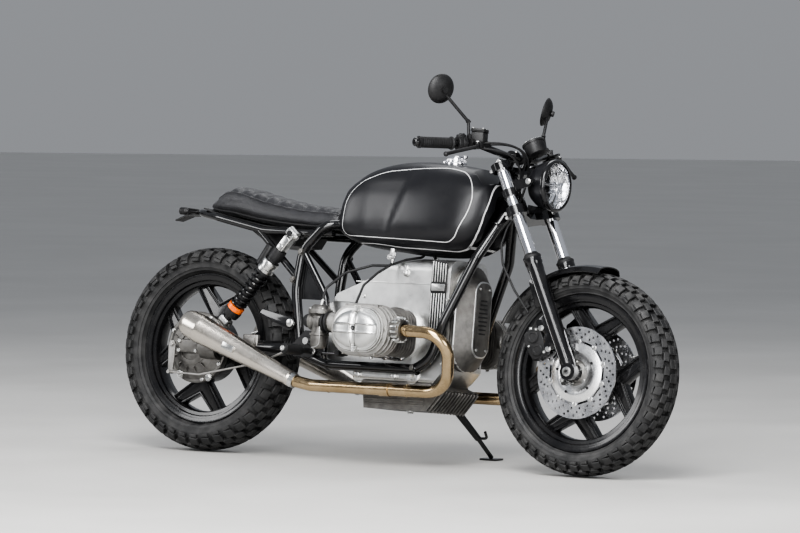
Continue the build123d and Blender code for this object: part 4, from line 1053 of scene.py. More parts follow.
@dataclass
class FuelTank:
    """The tank: a smooth shell with knee hollows, a thin stripe, a painted highlight along its edges, a cap
    and two taps.
    """

    # x, bottom, top, half width low, half width high, squareness
    stations: Sequence[Sequence[float]] = ((530, 724, 796, 92, 80, 3.6), (548, 706, 862, 112, 90, 3.6),
        (580, 692, 895, 127, 97, 3.4), (630, 678, 925, 137, 103, 3.2), (700, 667, 946, 145, 108, 3.0),
        (770, 660, 955, 152, 112, 2.9), (850, 656, 956, 159, 116, 2.9), (930, 658, 951, 161, 116, 2.9),
        (1000, 668, 942, 156, 110, 2.9), (1050, 696, 931, 136, 98, 2.9), (1084, 742, 908, 106, 82, 3.0),
        (1102, 790, 872, 76, 62, 3.0),)
    sides: int = 64
    slices: int = 44
    flank: float = 1.6
    knee_depth: float = 11.0
    tunnel_half: float = 62.0
    stripe_width: float = 2.6
    stripe_lift: float = 0.8
    knee_low: Pairs = (745, 700)
    knee_high: Pairs = (826, 925)
    # A pale line along the tank's lower and front edges: a painted highlight, laid like the stripe.
    outer: Pairs = ((500, 690), (700, 686), (790, 677), (1006, 671), (1046, 698), (1078, 750), (1096, 820),
        (1098, 872), (1086, 930), (1040, 1000), (500, 1000))
    stripe: Pairs = ((560, 710), (744, 704), (1000, 696), (1052, 800), (1054, 866), (1016, 920), (940, 936),
        (830, 930), (700, 918), (606, 884), (566, 830))
    filler: Vector = Vector((904.0, 0.0, 952.0))
    yoke_floor: float = 676.0
    yoke_reach: float = 145.0
    yoke_behind: float = 56.0

    def ring(self, x: float) -> list[Vector]:
        """Give the tank's section at one x."""
        return squared_ring(x, curve_at(self.stations, x), self.sides, self.flank)

    def kneed(self, co: Vector) -> Vector:
        """Press the knee hollow in behind the slanted crease."""
        (x0, z0), (x1, z1) = self.knee_low, self.knee_high
        crease = x0 + (co.z - z0) * (x1 - x0) / (z1 - z0)
        behind = held((crease + 16 - co.x) / 40)
        front = held((co.x - 560) / 90)
        level = held((co.z - 680) / 60) * held((930 - co.z) / 60)
        press = self.knee_depth * (behind * behind * (3 - 2 * behind)) * front * level
        reach = abs(co.y)
        if reach < 70:
            return co
        return Vector((co.x, math.copysign(reach - press, co.y), co.z))

    def shell(self) -> Form:
        """Stretch the shell and hollow a tunnel for the frame under it."""
        tail, nose = self.stations[0][0], self.stations[-1][0]
        xs = [tail + (nose - tail) * (step / self.slices) for step in range(self.slices + 1)]
        form = skinned([self.ring(x) for x in xs])
        return form.shaped(self.kneed).shaped(self.tunnelled).shaped(self.cleared)

    def cleared(self, co: Vector) -> Vector:
        """Press the front of the top down, out of the way of the upper yoke at full lock."""
        off = co - on_fork(0.0, -FORK_OFFSET)
        along, ahead = off.dot(FORK_UP), off.dot(FORK_AHEAD)
        reach = math.hypot(ahead, co.y)
        if along < self.yoke_floor or ahead < -self.yoke_behind or reach > self.yoke_reach:
            return co
        return co - FORK_UP * (along - self.yoke_floor)

    def tunnelled(self, co: Vector) -> Vector:
        """Lift the middle of the underside over the frame's backbone."""
        low, high = curve_at(self.stations, co.x)[:2]
        if abs(co.y) > self.tunnel_half or co.z > (low + high) / 2:
            return co
        roof = min(high - 20, 790 + (co.x - 480) * 80 / 520)
        share = min(1.0, (self.tunnel_half - abs(co.y)) / 12)
        return Vector((co.x, co.y, co.z + (roof - co.z) * share))

    def striped(self, shell: Form, hand: Hand, outline: Pairs) -> Form:
        """Lay a thin pale line on one side, a hair proud of the paint, where the tank is under it; it draws
        both the stripe and the painted highlight along the tank's edges.
        """
        flat = plate(outline, 1.0, corner=30.0)
        keep = [face for face in flat.mesh.faces if face.normal.z > FACING]
        bmesh.ops.delete(flat.mesh, geom=[f for f in flat.mesh.faces if f not in keep], context="FACES")
        bmesh.ops.subdivide_edges(flat.mesh, edges=list(flat.mesh.edges), cuts=7)
        panel = list(flat.mesh.faces)
        bmesh.ops.inset_individual(flat.mesh, faces=panel, thickness=self.stripe_width,
            use_even_offset=True)
        bmesh.ops.delete(flat.mesh, geom=panel, context="FACES")
        tree = shell.tree()

        def lay(co: Vector) -> Vector:
            """Drop one point of the flat stripe onto the tank."""
            start = Vector((co.x, hand.value * 400.0, co.y))
            hit, normal, _, _ = tree.ray_cast(start, Vector((0, -hand.value, 0)))
            return (hit + normal * self.stripe_lift) if hit else Vector((co.x, 0, co.y))

        flat = flat.shaped(lay)
        off = [vertex for vertex in flat.mesh.verts if abs(vertex.co.y) < 8.0]
        bmesh.ops.delete(flat.mesh, geom=off, context="VERTS")
        return flat

    def cap(self) -> Form:
        """Make the bright hinged filler cap with its latch."""
        form = turned([(-8, 0), (-8, 33), (0, 34), (5, 34), (7, 32), (8, 29), (18, 28), (22, 26), (24, 22),
            (25, 0)], 56)
        for place in ring_of(28, 28.4):
            form.add(block((1.6, 2.4, 8), 0.5), place @ move(0, 0, 13))
        form.add(block((16, 22, 10), 2.5), move(-36, 0, 7))
        form.add(rod(3.5, -13, 13, 16), at((-38, 0, 12), (0, 1, 0)))
        form.add(block((40, 11, 4), 1.6), move(16, 0, 27))
        form.add(turned([(0, 0), (0, 6), (8, 6), (9, 5), (9, 0)], 18), at((34, 0, 21), (0, 0, 1)))
        return form

    def tap(self, hand: Hand) -> Form:
        """Make one fuel tap: a threaded boss, a body, a lever and a hose tail."""
        foot = Vector((770, hand.value * 120, 672))
        form = Form().add(turned([(0, 0), (0, 9), (14, 9), (14, 6), (38, 6), (40, 4.2), (52, 4.2), (52, 0)],
            20), at(foot, (0, 0, -1)))
        form.add(rod(11, 0, 10, 6), at(foot - Vector((0, 0, 12)), (0, 0, -1)))
        out = Vector((0, hand.value, 0))
        form.add(turned([(0, 0), (0, 6), (13, 6), (16, 8), (20, 8), (20, 0)], 18),
            at(foot - Vector((0, 0, 28)), out))
        form.add(block((24, 5, 6), 1.8), Matrix.Translation(foot + out * 19 + Vector((10, 0, -28))))
        return form

    def build(self, machine: Machine) -> None:
        """Make the shell, its stripe, its painted edge highlight, its cap and its taps."""
        shell = self.shell()
        # The pale lines are the tank's stripe and a painted highlight along its edges.
        stripe_and_edge_highlight = joined(self.striped(shell, hand, outline) for hand in Hand for outline in (self.stripe,
            self.outer))
        machine.piece("tank_stripe_and_painted_highlight", stripe_and_edge_highlight, PALE_LINE)
        machine.piece("tank_shell", shell, SATIN_BLACK, ("fuel_tank",), angle=60.0)
        taps = joined(self.tap(hand) for hand in Hand)
        machine.piece("fuel_taps", taps, ZINC)
        place = Matrix.Translation(self.filler)
        machine.piece("filler_cap_hinged", self.cap().moved(place), CHROME, ("filler_cap",),
            place)


@dataclass
class Seat:
    """The low seat: a padded body with sewn cross channels, piping and a trim band."""

    # x, bottom, top, half width low, half width high, squareness
    stations: Sequence[Sequence[float]] = ((-12, 785, 804, 62, 50, 3.2), (24, 776, 829, 84, 68, 3.4),
        (66, 768, 852, 98, 80, 3.6), (110, 764, 853, 104, 86, 3.6), (230, 745, 827, 112, 94, 3.6),
        (380, 732, 803, 112, 96, 3.6), (500, 730, 796, 100, 86, 3.6), (524, 736, 789, 90, 76, 3.4),)
    sides: int = 40
    slices: int = 30
    under_skin: float = 3.0
    channels: int = 9
    channel_depth: float = 5.0
    channel_width: float = 6.0
    puff: float = 2.4
    first_channel: float = 70.0
    last_channel: float = 480.0
    voxel: float = 5.0
    cap: float = 7.0
    pressure: float = 4.0
    frames: int = 20

    def ring(self, x: float, shrink: float = 0.0) -> list[Vector]:
        """Give the pad's section at one x, drawn in by a margin."""
        low, high, *rest = curve_at(self.stations, x)
        return squared_ring(x, (low + shrink * 0.3, high - shrink, *rest), self.sides, 1.0, shrink)

    def edge_line(self, share: float, lift: float = 0.0) -> list[Vector]:
        """Give the line round the pad's top edge or its hem."""
        right = []
        start, end, steps = 16, 519, 26
        for step in range(steps + 1):
            x = start + (end - start) * step / steps
            low, high, wide_low, wide_high, _ = curve_at(self.stations, x)
            wide = wide_low + (wide_high - wide_low) * share
            right.append(Vector((x, -wide, low + (high - low) * share + lift)))
        return [Vector((p.x, -p.y, p.z)) for p in reversed(right)] + right

    def stuffed(self) -> bpy.types.Object:
        """Blow the pad up as cloth and cap how far it swells."""
        tail, nose = self.stations[0][0], self.stations[-1][0]
        xs = [tail + (nose - tail) * step / self.slices for step in range(self.slices + 1)]
        form = skinned([self.ring(x, self.under_skin) for x in xs])
        data = bpy.data.meshes.new("seat_pad")
        form.mesh.to_mesh(data)
        data.transform(Matrix.Scale(MM, 4))
        pad = linked("seat_pad", data)
        remesh = pad.modifiers.new("even", "REMESH")
        remesh.mode = "VOXEL"
        remesh.voxel_size = self.voxel * MM
        self.settle(pad)
        start = [vertex.co.copy() for vertex in pad.data.vertices]
        cloth = pad.modifiers.new("swell", "CLOTH")
        cloth.settings.use_pressure = True
        cloth.settings.uniform_pressure_force = self.pressure
        cloth.settings.effector_weights.gravity = 0.0
        for frame in range(1, self.frames + 1):
            bpy.context.scene.frame_set(frame)
        self.settle(pad)
        bpy.context.scene.frame_set(1)
        for vertex, rest in zip(pad.data.vertices, start):
            swell = vertex.co - rest
            if swell.length > self.cap * MM:
                vertex.co = rest + swell.normalized() * self.cap * MM
        return pad

    @staticmethod
    def settle(pad: bpy.types.Object) -> None:
        """Put what the modifiers make into the pad's own mesh."""
        graph = bpy.context.evaluated_depsgraph_get()
        graph.update()
        data = bpy.data.meshes.new_from_object(pad.evaluated_get(graph))
        pad.modifiers.clear()
        pad.data = data

    def sewn(self, co: Vector) -> Vector:
        """Pull the top down along the sewn channels and the side seam."""
        low, high, _, wide_high, _ = curve_at(self.stations, co.x)
        rise = (co.z - low) / (high - low)
        top = held((rise - 0.62) / 0.25)
        flank = held((wide_high - 4 - abs(co.y)) / 10)
        pitch = (self.last_channel - self.first_channel) / (self.channels - 1)
        ahead = (co.x - self.first_channel) / pitch
        near = abs(ahead - round(ahead)) * pitch
        inside = -0.5 < ahead < self.channels - 0.5
        pull = self.channel_depth * math.exp(-((near / self.channel_width) ** 2))
        dip = pull * top * flank if inside else 0.0
        puff = self.puff * math.cos(TURN * ahead) * top * flank if inside else 0.0
        return Vector((co.x, co.y, co.z - dip - puff))

    def build(self, machine: Machine) -> None:
        """Stuff the pad, sew it and put on its piping and its hem."""
        pad = self.stuffed()
        for vertex in pad.data.vertices:
            vertex.co = self.sewn(vertex.co / MM) * MM
        cover = Form()
        cover.mesh.from_mesh(pad.data)
        bmesh.ops.scale(cover.mesh, vec=(1 / MM, 1 / MM, 1 / MM), verts=cover.mesh.verts)
        skin = cover.tree()
        pad.data.transform(machine.to_row @ Matrix.Scale(1 / MM, 4))
        pad.data.shade_smooth()
        finer = pad.modifiers.new("finer", "SUBSURF")
        finer.levels = finer.render_levels = 1
        pad.data.materials.clear()
        pad.data.materials.append(machine.painter.material(HIDE))
        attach(pad, Body.CHASSIS.value)
        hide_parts("seat")
        sewn_on = [skin.find_nearest(point)[0] for point in self.edge_line(0.86, 1.0)]
        machine.piece("seat_piping", wire(sewn_on, 2.6), HIDE)
        hem = wire(self.edge_line(0.10, -1.0), 3.0)
        machine.piece("seat_hem", hem, MATT_BLACK)


# Fork, brakes and mudguard


@dataclass
class Fork:
    """The fork legs, their seals and bolts, and the two yokes' fastenings."""

    leg: Pairs = ((-12, 0), (-12, 15), (-8, 20), (0, 23.5), (40, 24), (64, 22.6), (104, 24), (336, 24),
        (346, 25.6), (362, 25.6), (366, 27.4), (376, 28), (382, 28), (382, 19.3))
    seal: Pairs = ((381, 19.4), (381, 27), (386, 28.6), (390, 28.6), (394, 24), (399, 21.5), (401, 19.3))

    def slider(self) -> Form:
        """Cast the right slider: leg, axle eye, calliper bosses, mudguard boss and drain screw."""
        foot = fork_place(0.0, 0.0, -FORK_Y)
        form = Form().add(turned(self.leg, 48), foot).add(turned(self.seal, 48).tint(1), foot)
        eye = turned([(-24, 10.2), (-24, 25), (-22, 27), (22, 27), (24, 25), (24, 10.2)], 40, shut=True)
        form.add(eye, at(FRONT_AXLE - Vector((0, FORK_Y, 0)), (0, 1, 0)))
        clamp = block((26, 30, 24), 4.0)
        form.add(clamp, fork_place(-18, -26, -FORK_Y))
        form.add(cap_screw(5.5, 8).tint(2), fork_place(-18, -26, -FORK_Y - 15) @ outward(-1))
        web = plate([(-60, -54), (-20, -58), (-12, 0), (-20, 58), (-52, 50), (-58, 18), (-44, 0),
            (-58, -18)], 12, 2.0, 6.0)
        form.add(web, fork_place(150, 0, -FORK_Y + 13) @ SIDE)
        for along in (112, 188):
            boss = rod(11, -3, 15, 24)
            form.add(boss, fork_place(along, -50, -FORK_Y + 14) @ outward(-1))
        form.add(turned([(0, 0), (0, 10), (34, 8), (34, 0)], 24), at(on_fork(262, -8, -FORK_Y), (0, 1, 0)))
        form.add(hex_bolt(9, 5).tint(2), at(on_fork(20, -22, -FORK_Y), -FORK_AHEAD))
        form.add(rod(2.4, 0, 320, 10), fork_place(40, -12, -FORK_Y - 21))
        return form

    def fastenings(self) -> Form:
        """Make the fork caps, the yokes' clamp bolts and the steering stem's nut."""
        form = Form()
        cap = turned([(-6, 0), (-6, 17), (2, 17), (3, 14), (5, 14), (9, 12.5), (10, 0)], 40)
        bung = turned([(9, 0), (9, 8), (13, 7), (14, 0)], 6)
        for hand in (-1, 1):
            top = fork_place(711, 0, hand * FORK_Y)
            form.add(cap, top).add(bung, top)
            for along, ahead in ((697, -34), (538, -34), (552, -34)):
                spot = fork_place(along, ahead, hand * (FORK_Y + 4))
                form.add(cap_screw(5.5, 8), spot @ outward(hand))
            for reach in (-10, 10):
                form.add(cap_screw(4.4, 5), at((1146 + reach, hand * 45, 992), (0.05, 0, 1)))
        nut = turned([(0, 0), (0, 18), (10, 18), (13, 15), (13, 8), (9, 8), (9, 0)], 6)
        return form.add(nut, fork_place(710, -FORK_OFFSET, 0))

    def build(self, machine: Machine) -> None:
        """Make the sliders and the fastenings."""
        machine.piece("fork_legs", self.slider().both(), (FRAME_BLACK, RUBBER, ZINC),
            ("fork_sliders",), body=Body.STEERING)
        machine.piece("fork_fastenings", self.fastenings(), ZINC, body=Body.STEERING)


@dataclass
class FrontBrake:
    """The callipers with their bridges, pins and unions, and what dresses the discs."""

    along: float = 136.0
    back: float = -84.0
    inner: float = 47.0
    outer: float = 93.0

    def calliper(self) -> Form:
        """Build the right calliper round the disc's edge, on the fork's plane."""
        form = Form()
        shape = [(-31, -46), (20, -50), (28, -30), (28, 30), (20, 50), (-31, 46), (-38, 24), (-38, -24)]
        outside = plate(shape, self.outer - 68.5, 3.0, 8.0, 3)
        form.add(outside, fork_place(self.along, self.back, -68.5) @ SIDE)
        inside = plate(shape, 51.5 - self.inner, 1.5, 8.0)
        form.add(inside, fork_place(self.along, self.back, -self.inner) @ SIDE)
        for rise in (-36, 0, 36):
            bridge = block((18, self.outer - self.inner - 6, 17), 3.0)
            form.add(bridge, fork_place(self.along + rise, self.back - 27, -(self.outer + self.inner) / 2))
        bulge = turned([(0, 0), (0, 20), (3, 20), (6, 17), (6, 12), (4, 10), (4, 0)], 32)
        for rise in (-22, 22):
            form.add(bulge, fork_place(self.along + rise, self.back - 4, -self.outer + 1) @ outward(-1))
            form.add(cap_screw(4.6, 5).tint(1), fork_place(self.along + rise * 1.75, self.back + 17,
                -self.outer) @ outward(-1))
            form.add(hex_bolt(13, 8).tint(1), fork_place(self.along + rise * 1.6, -50, -FORK_Y + 1)
                @ outward(-1))
        pin = turned([(0, 0), (0, 3.4), (6, 3.4), (7, 2), (7, 0)], 16).tint(1)
        form.add(pin, fork_place(self.along, self.back - 28, -self.outer + 2) @ outward(-1))
        banjo = sleeve(4, 9, 0, 6, 24).tint(1)
        top = fork_place(self.along + 46, self.back - 8, -80)
        form.add(banjo, top).add(hex_bolt(11, 12).tint(1), top)
        nipple = turned([(0, 0), (0, 3.6), (5, 3.6), (7, 2.2), (13, 2.2), (14, 3), (16, 0)], 14).tint(2)
        form.add(nipple, fork_place(self.along + 44, self.back + 14, -80))
        return form

    def disc_trim(self) -> Form:
        """Make one disc's bobbins, bolts, screws, carrier and hub well, in the wheel's plane."""
        form = Form()
        bobbin = turned([(-4.4, 0), (-4.4, 5), (-3.6, 7.6), (3.6, 7.6), (4.4, 5), (4.4, 0)], 20)
        form.add(bobbin.tint(1), *ring_of(10, 97.5, TURN / 20))
        rim = turned([(-3.2, 82), (-3.2, 91), (3.2, 91), (4.4, 88), (5.4, 83), (9.6, 72), (9.6, 60),
            (8.4, 58), (8.4, 42), (6, 40.6), (-2, 40.6), (-2, 44)], 96, shut=True)
        form.add(rim)
        well = turned([(-2.6, 11), (-2.6, 41), (-1.6, 41), (-1.6, 32), (3, 27), (7, 24), (7, 11)], 64,
            shut=True).tint(3)
        form.add(well)
        form.add(hex_bolt(9, 5).tint(1), *[place @ at((0, 0, -1.6)) for place in ring_of(5, 35, 0.5)])
        form.add(cap_screw(4.4, 4).tint(2), *[place @ at((0, 0, 9)) for place in ring_of(5, 66, 0.5)])
        return form

    def build(self, machine: Machine) -> None:
        """Make the callipers and the discs' trim."""
        machine.piece("brake_callipers_cast", self.calliper().both(),
            (MATT_BLACK, ZINC, RUBBER), ("brake_callipers",), body=Body.STEERING)
        place = side(-60.0, FRONT_AXLE.x, FRONT_AXLE.z)
        trim = self.disc_trim().both(place)
        machine.piece("disc_carriers", trim, (CARRIER, ZINC, MATT_BLACK, CAST_GREY),
            place=place, body=Body.FRONT_WHEEL)
        ends = turned([(-3, 6.1), (-3, 15), (0, 15), (3, 12), (3, 6.1)], 30, shut=True)
        nuts = Form().add(ends, at(FRONT_AXLE + Vector((0, 122, 0)), (0, 1, 0)),
            at(FRONT_AXLE + Vector((0, -122, 0)), (0, -1, 0)))
        machine.piece("axle_nuts", nuts, ZINC, body=Body.STEERING)


@dataclass
class Mudguard:
    """The short front mudguard with a rolled edge, its stays and its bolts."""

    radius: float = 338.0
    half: float = 64.0
    start: float = 80.5
    end: float = 154.5

    def build(self, machine: Machine) -> None:
        """Roll the guard and hang it on its stays."""
        crown = [(-self.half, self.radius - 24), (-self.half + 3, self.radius - 19),
            (-self.half * 0.84, self.radius - 9), (-self.half * 0.6, self.radius - 3.5),
            (-self.half * 0.3, self.radius - 0.8), (0, self.radius)]
        line = crown + [(-y, r) for y, r in reversed(crown[:-1])]
        inner = [(y * 0.965, r - 3.4) for y, r in reversed(line)]
        guard = turned(line + inner, 40, math.radians(self.end - self.start), shut=True)
        ends = [edge for edge in guard.mesh.edges if edge.is_boundary]
        bmesh.ops.holes_fill(guard.mesh, edges=ends, sides=0)
        guard.tidy()
        turn = Matrix.Rotation(math.radians(self.start), 4, "Z")
        form = Form().add(guard, side(0, FRONT_AXLE.x, FRONT_AXLE.z) @ turn)
        for hand in (-1, 1):
            stay = plate([(-46, -46), (32, -40), (26, 44), (-40, 50)], 4, 1.2, 10)
            form.add(stay, fork_place(288, -14, hand * 66 + 2) @ SIDE)
            for along, ahead in ((262, -8), (306, -34), (312, 0)):
                form.add(hex_bolt(9, 5).tint(1), fork_place(along, ahead, hand * 68) @ outward(hand))
            arm = rod(7, 0, 30, 20)
            form.add(arm, at(on_fork(262, -8, hand * 66), (0, hand, 0)))
        machine.piece("front_mudguard_rolled", form, (FRAME_BLACK, ZINC),
            ("front_mudguard",), body=Body.STEERING)


# Headlamp and speedometer


@dataclass
class Headlamp:
    """The headlamp: bowl, rim, fluted glass, dish and bulb, with its side bolts."""

    centre: Vector = Vector((1288.0, 0.0, 895.0))

    def build(self, machine: Machine) -> None:
        """Turn the bowl, the rim, the dish and the glass."""
        place = at(self.centre, (1, 0, 0))
        bowl = turned([(-92, 0), (-91, 16), (-86, 34), (-74, 54), (-56, 68), (-36, 75.5), (-18, 78),
            (-6, 78.5), (-6, 75.5), (-18, 75), (-36, 72), (-56, 64)], 72)
        rim = turned([(-12, 79), (-12, 81.4), (-9, 82.4), (-3, 82.4), (0, 81.5), (3, 78.5), (4.5, 74.5),
            (4, 72.6), (1, 71.4), (-3, 71.2), (-6, 76)], 96, shut=True).tint(1)
        form = Form().add(bowl, place).add(rim, place)
        clamp = block((10, 8, 9), 1.5).tint(1)
        form.add(clamp, Matrix.Translation(self.centre + Vector((-6, 0, -84))))
        form.add(cap_screw(3, 4).tint(2), at(self.centre + Vector((-6, -4, -84)), (0, -1, 0)))
        for hand in (-1, 1):
            ear = turned([(0, 0), (0, 11), (12, 9), (13, 0)], 28)
            form.add(ear, at(self.centre + Vector((-44, hand * 74, 4)), (0, hand, 0)))
            form.add(hex_bolt(13, 7).tint(2), at(self.centre + Vector((-44, hand * 99, 4)), (0, hand, 0)))
        machine.piece("headlamp_bowl", form, (SATIN_BLACK, FRAME_BLACK, ZINC),
            ("headlight_shell",), place, body=Body.STEERING)
        dish = turned([(-60, 11), (-56, 24), (-46, 42), (-30, 57), (-12, 67), (-4, 70.8), (-4.4, 69.6),
            (-13, 65.6), (-30, 55), (-45, 40), (-54, 22), (-57, 11)], 72, shut=True)
        lamp = turned([(-58, 10), (-48, 9), (-34, 8), (-22, 7), (-20, 0)], 24).tint(1)
        shade = turned([(-26, 9), (-14, 9.6), (-13, 8), (-13, 0)], 24)
        inside = Form().add(dish, place).add(lamp, place).add(shade, place)
        machine.piece("headlamp_dish", inside, (MIRROR, GLASS), ("headlight_reflector",),
            place, body=Body.STEERING)
        glass = turned([(-3.6, 71), (0, 71), (4, 66), (8, 54), (10.6, 38), (12, 20), (12.4, 0)], 96)
        flat = turned([(-3.6, 0), (-3.6, 71)], 96)
        glass.add(flat)

        def fluted(co: Vector) -> Vector:
            """Press upright flutes into the back of the glass."""
            if co.z < -3.0 and math.hypot(co.x, co.y) < 66:
                return Vector((co.x, co.y, co.z + 1.2 * math.cos(TURN * co.y / 9.0)))
            return co

        bmesh.ops.subdivide_edges(glass.mesh, edges=[e for e in glass.mesh.edges
            if max(v.co.z for v in e.verts) < -3.0], cuts=6)
        machine.piece("headlamp_glass", glass.tidy().shaped(fluted).moved(place), GLASS,
            ("headlight_lens",), place, body=Body.STEERING)


@dataclass
class Speedometer:
    """The small round speedometer: cup, bright bezel, bare dial with ticks, and needle."""

    centre: Vector = Vector((1190.0, 0.0, 1022.0))
    tilt: Vector = Vector((-0.5, 0.0, 0.866))

    def build(self, machine: Machine) -> None:
        """Make the cup on its bracket, the bezel, the dial and the glass."""
        place = at(self.centre, self.tilt)
        cup = turned([(-40, 0), (-40, 20), (-34, 29), (-20, 33), (0, 34.5), (2, 34.5), (2, 30)], 56)
        cup.add(turned([(0, 34.4), (0, 36.6), (6, 36.8), (7, 35.6), (7, 34.4)], 64, shut=True))
        bezel = turned([(7, 32), (7, 36.2), (9, 35.6), (10, 34), (9, 32)], 64, shut=True).tint(1)
        dial = turned([(5, 0), (5, 32)], 48).tint(2)
        form = Form().add(cup, place).add(bezel, place).add(dial, place)
        tick = block((4.5, 0.9, 0.6)).tint(3)
        form.add(tick, *[place @ spot @ at((0, 0, 5.3)) for spot in ring_of(24, 28.0)])
        needle = block((26, 1.6, 0.8), 0.3).tint(4)
        form.add(needle, place @ at((-9, 5, 6.4), turn=-0.5))
        form.add(turned([(5, 0), (5, 3.6), (8, 3), (8, 0)], 20), place)
        stem = pipe([self.centre - self.tilt * 34, on_fork(718, 4, 0)], 8, ())
        form.add(stem)
        machine.piece("speedometer_cup", form, (MATT_BLACK, ZINC, BARE_DIAL, PALE_LINE,
            ORANGE), ("speedometer",), place, body=Body.STEERING)
        pane = turned([(8.4, 31.4), (8.8, 30), (9.6, 16), (10, 0)], 48)
        machine.piece("speedometer_glass", pane.moved(place), GLASS, body=Body.STEERING)


# Handlebar


@dataclass
class Bars:
    """What the handlebar carries: grips, switches, levers, reservoir, mirrors and cables."""

    bend: Vector = Vector((1108.0, 196.0, 1002.0))
    end: Vector = Vector((1020.0, 386.0, 987.0))
    length: float = 120.0

    def grip(self) -> Form:
        """Mould the left rubber grip with its flange, its rings and its bar end."""
        out = (self.end - self.bend).normalized()
        length = self.length
        line = [(0, 11.2), (0, 20.5), (3, 21), (5, 20), (6, 16.6)]
        rings = 15
        for ring in range(rings):
            foot = 9 + (length - 20) * ring / rings
            line += [(foot, 16.6), (foot + 0.8, 17.3), (foot + 4.6, 17.3), (foot + 5.4, 16.2)]
        line += [(length - 8, 16.6), (length - 6, 18.6), (length, 19), (length + 1, 11.2)]
        form = turned(line, 40, shut=True)
        knob = turned([(length + 1, 0), (length + 1, 13), (length + 4, 13.4), (length + 5, 12.2),
            (length + 7, 12.2), (length + 8, 13.6), (length + 14, 13.2), (length + 16, 11),
            (length + 16, 6), (length + 13, 5), (length + 13, 0)], 36).tint(1)
        return form.add(knob).moved(at(self.end - out * length, out))

    def controls(self) -> Form:
        """Make the left switch housing, perch and lever."""
        out = (self.end - self.bend).normalized()
        seat = Vector((1098, 226, 1000))
        turn = at(seat, out)
        form = Form()
        for foot, deep in ((12, 15), (28, 15)):
            form.add(turned([(foot, 11.2), (foot, 20), (foot + 1.5, 21.5), (foot + deep - 1.5, 21.5),
                (foot + deep, 20), (foot + deep, 11.2)], 32, shut=True), turn)
        form.add(block((20, 30, 28), 4.0), turn @ at((0, 13, 27)))
        for rise, wide in ((-7, 7), (3, 9)):
            form.add(block((wide, 5, 6), 1.4).tint(1), turn @ at((rise, 29, 27 + rise / 2)))
        form.add(block((34, 6, 6), 1.8), turn @ at((0, -20, 30)))
        perch = turned([(-26, 11.2), (-26, 16), (-24, 17.5), (-5, 17.5), (-3, 16), (-3, 11.2)], 32,
            shut=True)
        form.add(perch, turn)
        form.add(block((30, 20, 20), 4.0), Matrix.Translation(seat - out * 15 + Vector((22, 2, -3))))
        form.add(rod(7, -11, 11, 24), at(seat + Vector((38, 8, -6)), (0, 0, 1)))
        form.add(hex_bolt(9, 4).tint(2), at(seat + Vector((38, 8, 5)), (0, 0, 1)))
        form.add(pipe([seat + Vector((38, 8, -6)), seat + Vector((44, 26, -12)), (1122, 320, 968),
            (1112, 364, 955)], 6.0, (24, 50), 16))
        ball = Form()
        bmesh.ops.create_uvsphere(ball.mesh, u_segments=20, v_segments=12, radius=8.0)
        form.add(ball, move(1112, 366, 954))
        return form

    def reservoir(self) -> Form:
        """Make the front brake's square reservoir with its lid, screws and window."""
        spot = move(1116, -196, 1028) @ Matrix.Rotation(math.radians(20), 4, "Z")
        form = Form().add(block((42, 58, 34), 5.0, 3), spot @ at((0, 0, -6)))
        form.add(block((44, 60, 9), 3.0), spot @ at((0, 0, 17)))
        form.add(block((45, 61, 2), 0.6).tint(1), spot @ at((0, 0, 11.6)))
        for x in (-16, 16):
            for y in (-23, 23):
                form.add(cap_screw(3.0, 2.4).tint(2), spot @ at((x, y, 21)))
        window = turned([(0, 7.5), (2, 7.5), (2, 6), (1, 6), (1, 0)], 24).tint(2)
        form.add(window, spot @ at((-21, 0, -6), (-1, 0, 0)))
        pump = turned([(-40, 0), (-40, 10), (-36, 12), (38, 12), (42, 9), (48, 9), (48, 0)], 28)
        form.add(pump, at((1116, -200, 1004), (0.15, 1, 0)))
        form.add(sleeve(4, 8, 0, 6, 20).tint(2), at((1122, -156, 1004), (0.15, 1, 0)))
        return form

    def mirror(self, foot: Point, elbow: Point, ball: Point, cup: Point) -> Form:
        """Make one mirror on its bent stem.

        Args:
            foot: Where the stem leaves the perch.
            elbow: Its first bend.
            ball: Its second bend.
            cup: The middle of the mirror.

        Returns:
            The mirror, its glass with index 1.
        """
        hand = 1 if foot[1] > 0 else -1
        face = Vector((-1, -hand * 0.4, 0.24)).normalized()
        form = pipe([foot, elbow, ball, cup], 5.0, (14, 20), 16)
        shell = turned([(-14, 0), (-13, 16), (-10, 29), (-5, 38), (1, 44), (5, 46.6), (6.6, 46.8),
            (7.4, 46), (7.4, 44), (5, 43.6)], 64)
        form.add(shell, at(cup, face)).add(turned([(5, 0), (5, 44)], 64).tint(1), at(cup, face))
        form.add(turned([(-4, 0), (-4, 9), (2, 9.5), (8, 6), (8, 0)], 24), at(Vector(cup) - face * 19,
            face))
        form.add(turned([(-7, 0), (-7, 9), (14, 9), (18, 5), (18, 0)], 6), at(foot, (0, 0, 1)))
        form.add(rod(7, -5, 5, 24), at(elbow, Vector(ball) - Vector(elbow)))
        return form

    def cables(self) -> Form:
        """Run the throttle, clutch and switch cables down from the bars to behind the lamp."""
        form = Form()
        for points, radius in ((((1108, -214, 1000), (1160, -180, 1014), (1216, -90, 1000),
                (1190, -40, 930), (1166, -30, 880)), 3.2), (((1100, -232, 990), (1150, -196, 990),
                (1206, -120, 976), (1200, -60, 900), (1176, -46, 850)), 3.4), (((1108, 214, 1000),
                (1164, 186, 1012), (1226, 96, 1000), (1204, 46, 930), (1172, 36, 880)), 3.2),
                (((1100, 232, 990), (1146, 196, 984), (1198, 124, 970), (1204, 70, 920), (1186, 40, 870)),
                2.8), (((1124, -156, 1004), (1168, -120, 1014), (1208, -60, 990), (1196, -24, 930),
                (1180, -20, 870), (1172, -40, 812)), 3.6), (((1186, 10, 982), (1204, 14, 950),
                (1206, 20, 920), (1196, 24, 900)), 3.0), (((1150, -76, 880), (1178, -70, 850),
                (1186, -50, 820), (1178, -30, 800)), 3.4), (((1150, 76, 880), (1180, 70, 846),
                (1190, 50, 820), (1180, 30, 800)), 2.8),):
            form.add(wire(points, radius))
        return form

